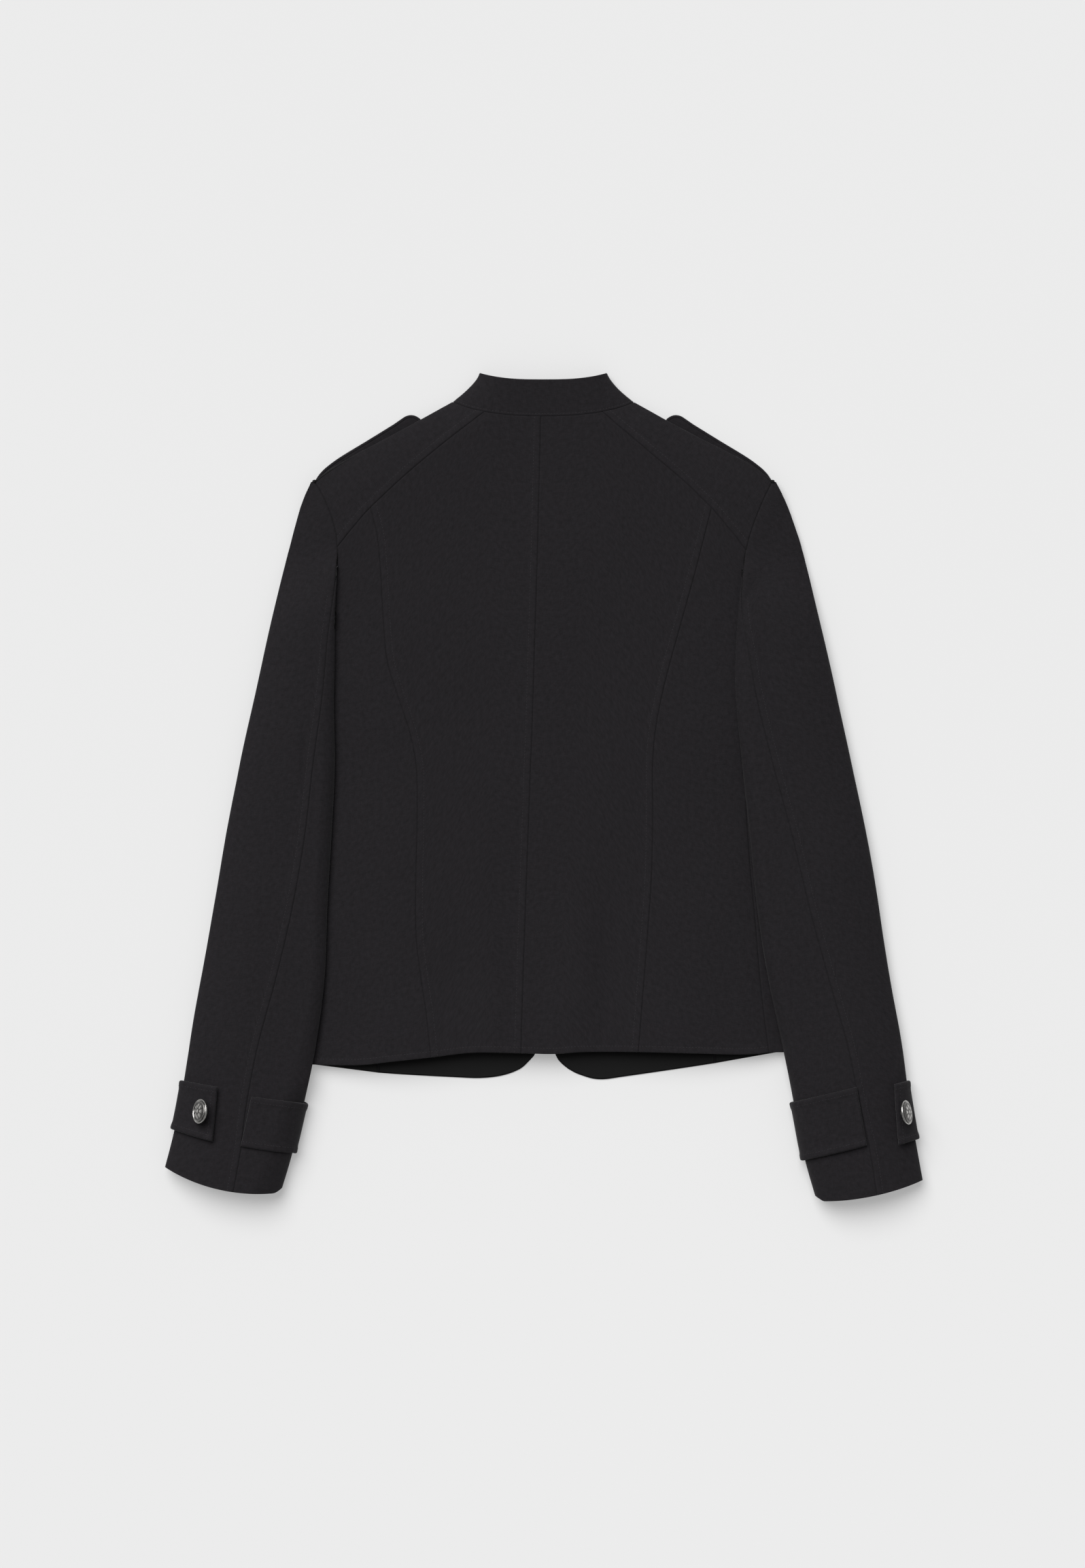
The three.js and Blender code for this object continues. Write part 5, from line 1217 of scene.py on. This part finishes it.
def stitchesAlong(points, normals):
    # Four stations along each stitch, each a ring of four points; the end rings lie lower and are smaller
    c = stitch
    run = runAlong(points)
    count = int((run[-1] - c["pitch"]) / c["pitch"])
    k = np.arange(count)
    start = (k + 0.5) * run[-1] / (count + 0.5) + c["uneven"] * np.sin(k * 2.3) * np.sin(k * 0.71 + 1)
    at = start[:, None] + c["length"] * np.array([0, 0.22, 0.78, 1])
    place, normal = (stack(*[np.interp(at, run, line[:, k]) for k in range(3)]) for line in (points, normals))
    normal = unit(normal)
    along = unit(np.gradient(place, axis=1))
    across = unit(np.cross(normal, along))
    lift = np.array([-c["dip"], 0, 0, -c["dip"]])[None, :, None]
    size = c["radius"] * np.array([c["endSize"], 1, 1, c["endSize"]])[None, :, None, None]
    turn = np.array([0.25, 0.75, 1.25, 1.75]) * np.pi
    ring = across[:, :, None] * np.cos(turn)[:, None] + normal[:, :, None] * c["flat"] * np.sin(turn)[:, None]
    rods = (place + normal * lift)[:, :, None] + ring * size
    index = np.arange(rodPoints).reshape(4, 4)
    a, b = index[:-1], index[1:]
    faces = np.stack([a, np.roll(a, -1, 1), np.roll(b, -1, 1), b], -1).reshape(-1, 4)
    faces = np.concatenate([faces, [index[0, ::-1], index[-1]]])
    every = faces[None] + rodPoints * np.arange(count)[:, None, None]
    return rods.reshape(-1, 3), every.reshape(-1, 4)


def stitchPiece(name, lines):
    points, faces, first = [], [], 0
    for line in lines:
        rods, quads = stitchesAlong(*line)
        points.append(rods)
        faces.append(quads + first)
        first += len(rods)
    piece = addObject(name, meshOf(name, toMetres(np.concatenate(points)), np.concatenate(faces)))
    piece.data.materials.append(thread)
    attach(piece, "root")
    return first // rodPoints


# The thread is a shade lighter than the cloth: partly its own tone and partly a painted sheen that shows the
# stitches as light dashes
thread = newMaterial("blackThread", {
    "Base Color": (0.027, 0.025, 0.028, 1), "Roughness": 0.72, "Specular IOR Level": 0.25})[0]
print("stitches:", stitchPiece("stitches", stitchLines))


# Cuff buttons: a domed disc turned about its axis, its relief generic: a beaded rim, eight petals and a boss

buttonShape = {"radius": 10.5, "shankRadius": 2.6, "shankLength": 3.8, "edge": 1, "edgeHeight": 0.6,
               "rim": 1.1, "rimHeight": 1.6, "rimRise": 0.2, "groove": 0.5, "crown": 4.2,
               "left": {"row": 12.28, "part": 0.765, "tilt": 56, "lift": 0.9},
               "right": {"row": 12.42, "part": 0.88, "tilt": 66, "lift": 0.35}}
domeRings = 44


def buttonProfile():
    # Radius and height from the shank's foot, out round the edge, over the rim and up the dome to its top
    c = buttonShape
    r, h = c["radius"], c["shankLength"]
    foot = [(0.02, 0), (c["shankRadius"] - 0.3, 0), (c["shankRadius"], 0.3), (c["shankRadius"], h - 0.3),
            (c["shankRadius"] + 0.4, h), (r - c["edge"] - 1, h), (r - c["edge"], h + 0.03)]
    turn = np.linspace(-0.5, 0.5, 9)[1:] * np.pi
    middle, half = h + (c["edgeHeight"] + c["rimHeight"]) / 2 - 0.1, (c["rimHeight"] + c["rimRise"]) / 2
    edge = stack(r - 0.55 + 0.55 * np.cos(turn), middle + half * np.sin(turn))
    dome, rim = r - c["rim"] - c["groove"], h + c["rimHeight"]
    share = np.linspace(0, 1, domeRings) * np.pi / 2
    rise = (c["crown"] - c["rimHeight"]) * np.sin(share)
    crown = stack(dome * np.cos(share) ** 0.94 + 0.02, rim - c["rimRise"] - 0.35 + rise)
    groove = [(r - 0.85, rim + 0.1), (r - 1.1, rim - 0.35), (dome + 0.15, crown[0, 1] - 0.02)]
    return np.concatenate([foot, edge, groove, crown])


def petalRelief(radius, turn):
    # Eight petals round a boss, with small beads inside the rim: each a bump in radius times one in turn
    petals = ease(1 - np.abs(radius - 0.52) / 0.3) * (0.5 + 0.5 * np.cos(8 * turn)) ** 0.8
    beads = ease(1 - np.abs(radius - 0.9) / 0.07) * (0.5 + 0.5 * np.cos(40 * turn))
    boss = ease((0.2 - radius) / 0.09)
    return petals + 0.55 * beads + 0.8 * boss


def cuffButton(side):
    c, place, ends = buttonShape, buttonShape[side["name"]], cuffStraps[side["name"]]
    row, turn = np.array(place["row"]), turnOfPart(place["part"])
    seat = sleeveAt(side, row, turn, "ring")
    normal = sleeveNormal(side, row, turn)
    across = unit(np.array([side["sign"] * (side["outer"](row) - side["inner"](row)),
                            side["outerY"](row) - side["innerY"](row), 0]))
    tilt = np.radians(place["tilt"])
    axis = unit(across * np.sin(tilt) + np.array([0, 0, np.cos(tilt)]))
    seatAngle = np.arccos(np.clip(axis @ normal, -1, 1))
    strapTop = strapHeight(ends, turn - turnOfPart((ends["end"] + ends["footEnd"]) / 2))
    foot = seat + normal * (strapTop + place["lift"] + c["shankRadius"] * np.sin(seatAngle))
    profile = buttonProfile()
    angle = np.linspace(0, 2 * np.pi, 161)[:-1]
    share = profile[:, 0] / (c["radius"] - c["rim"] - c["groove"])
    onDome = (np.arange(len(profile)) >= len(profile) - domeRings)[:, None]
    relief = np.where(onDome, petalRelief(share[:, None], angle[None, :]), 0.6)
    height = profile[:, 1:] + np.where(onDome, 0.42 * relief, 0)
    one = unit(np.cross(axis, [0.0, 1.0, 0.0]))
    two = np.cross(axis, one)
    ring = np.cos(angle)[:, None] * one + np.sin(angle)[:, None] * two
    points = foot + profile[:, :1, None] * ring + height[..., None] * axis
    name = "metal_cuff_button_" + side["name"]
    piece = closedTube(name, points, stack(angle[None, :] * 10, profile[:, 1:]), inside=False)
    attribute = piece.data.attributes.new("relief", "FLOAT", "POINT")
    attribute.data.foreach_set("value", relief.reshape(-1).astype(np.float32))
    piece.data.materials.append(silver)
    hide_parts("cuff_button_" + side["name"])
    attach(piece, "root")


def silverMaterial():
    # Polished on the raised relief, duller and darker in the recesses, with fine wear over both. The dark
    # recesses are the antiquing of the silver and a painted shade of the hollows together.
    material, tree, shader = newMaterial("silverMetal", {"Metallic": 1.0})
    relief = node(tree, "ShaderNodeAttribute", attribute_name="relief")
    place = node(tree, "ShaderNodeTexCoord").outputs["Object"]
    wear = node(tree, "ShaderNodeTexNoise", {"Vector": place, "Scale": 900.0, "Detail": 3.0}).outputs["Fac"]
    depth = node(tree, "ShaderNodeMath", {0: wear, 1: 0.2, 2: relief.outputs["Fac"]},
                 operation="MULTIPLY_ADD").outputs[0]
    rough = node(tree, "ShaderNodeMapRange", {"Value": depth, "To Min": 0.4, "To Max": 0.16})
    bump = node(tree, "ShaderNodeBump", {"Strength": 0.25, "Distance": 0.00006, "Height": wear})
    # From dark in the recesses to light on the raised relief: antiquing with painted shade in it
    feed(tree, shader, {"Base Color": colourMix(tree, depth, (0.035, 0.033, 0.032), (0.56, 0.55, 0.53)),
                        "Roughness": rough.outputs["Result"], "Normal": bump.outputs["Normal"]})
    return material


silver = silverMaterial()
for side in (left, right):
    cuffButton(side)
print("buttons: 2")


# Floor, light and camera

studio = {"floorSize": 12, "floor": 0.51, "cloud": 1.03, "glow": 0.296, "world": 0.31, "sun": 2.86,
          "sunHeight": 57, "sunSoft": 50, "sunSide": 0.3, "cameraX": -0.00115, "cameraY": 0.0026,
          "cameraHeight": 8.0, "frameAt": 0.012, "frameHeight": 1.326}


def makeFloor():
    half = studio["floorSize"] / 2
    corners = np.array([[-half, -half, 0], [half, -half, 0], [half, half, 0], [-half, half, 0]])
    corners = corners - [0, 0, 0.0002]
    floor = addObject("studioFloor", meshOf("studioFloor", corners, np.array([[0, 1, 2, 3]])))
    # The paper glows a little: painted light that keeps the floor evenly bright and lifts the shade round the
    # coat
    material, tree, shader = newMaterial("studioPaper", {
        "Roughness": 0.95, "Specular IOR Level": 0.1, "Emission Color": (1, 1, 1, 1),
        "Emission Strength": studio["glow"]})
    place = node(tree, "ShaderNodeTexCoord").outputs["Object"]
    cloud = node(tree, "ShaderNodeTexNoise", {"Vector": place, "Scale": 0.7, "Detail": 1.0})
    grey, lighter = studio["floor"], studio["floor"] * studio["cloud"]
    feed(tree, shader, {"Base Color": colourMix(tree, cloud.outputs["Fac"], [grey] * 3, [lighter] * 3)})
    floor.data.materials.append(material)


def makeLight():
    world = bpy.data.worlds.new("studioLight")
    world.use_nodes = True
    world.node_tree.nodes["Background"].inputs["Color"].default_value = (1, 1, 1, 1)
    world.node_tree.nodes["Background"].inputs["Strength"].default_value = studio["world"]
    bpy.context.scene.world = world
    sun = bpy.data.lights.new("broadLight", "SUN")
    sun.energy = studio["sun"]
    sun.angle = np.radians(studio["sunSoft"])
    lamp = bpy.data.objects.new("broadLight", sun)
    height = np.radians(studio["sunHeight"])
    towards = Vector((studio["sunSide"], -np.cos(height), -np.sin(height)))
    lamp.rotation_euler = towards.to_track_quat("-Z", "Y").to_euler()
    bpy.context.scene.collection.objects.link(lamp)


def makeCamera():
    # Straight above, as the photograph was taken
    lens = bpy.data.cameras.new("camera")
    lens.sensor_width = 36
    lens.lens = 36 * (studio["cameraHeight"] - studio["frameAt"]) / studio["frameHeight"]
    camera = bpy.data.objects.new("camera", lens)
    camera.location = (studio["cameraX"], studio["cameraY"], studio["cameraHeight"])
    bpy.context.scene.collection.objects.link(camera)
    bpy.context.scene.camera = camera


makeFloor()
makeLight()
makeCamera()
bpy.context.scene.view_settings.view_transform = "Standard"
print("studio: floor, light and camera")
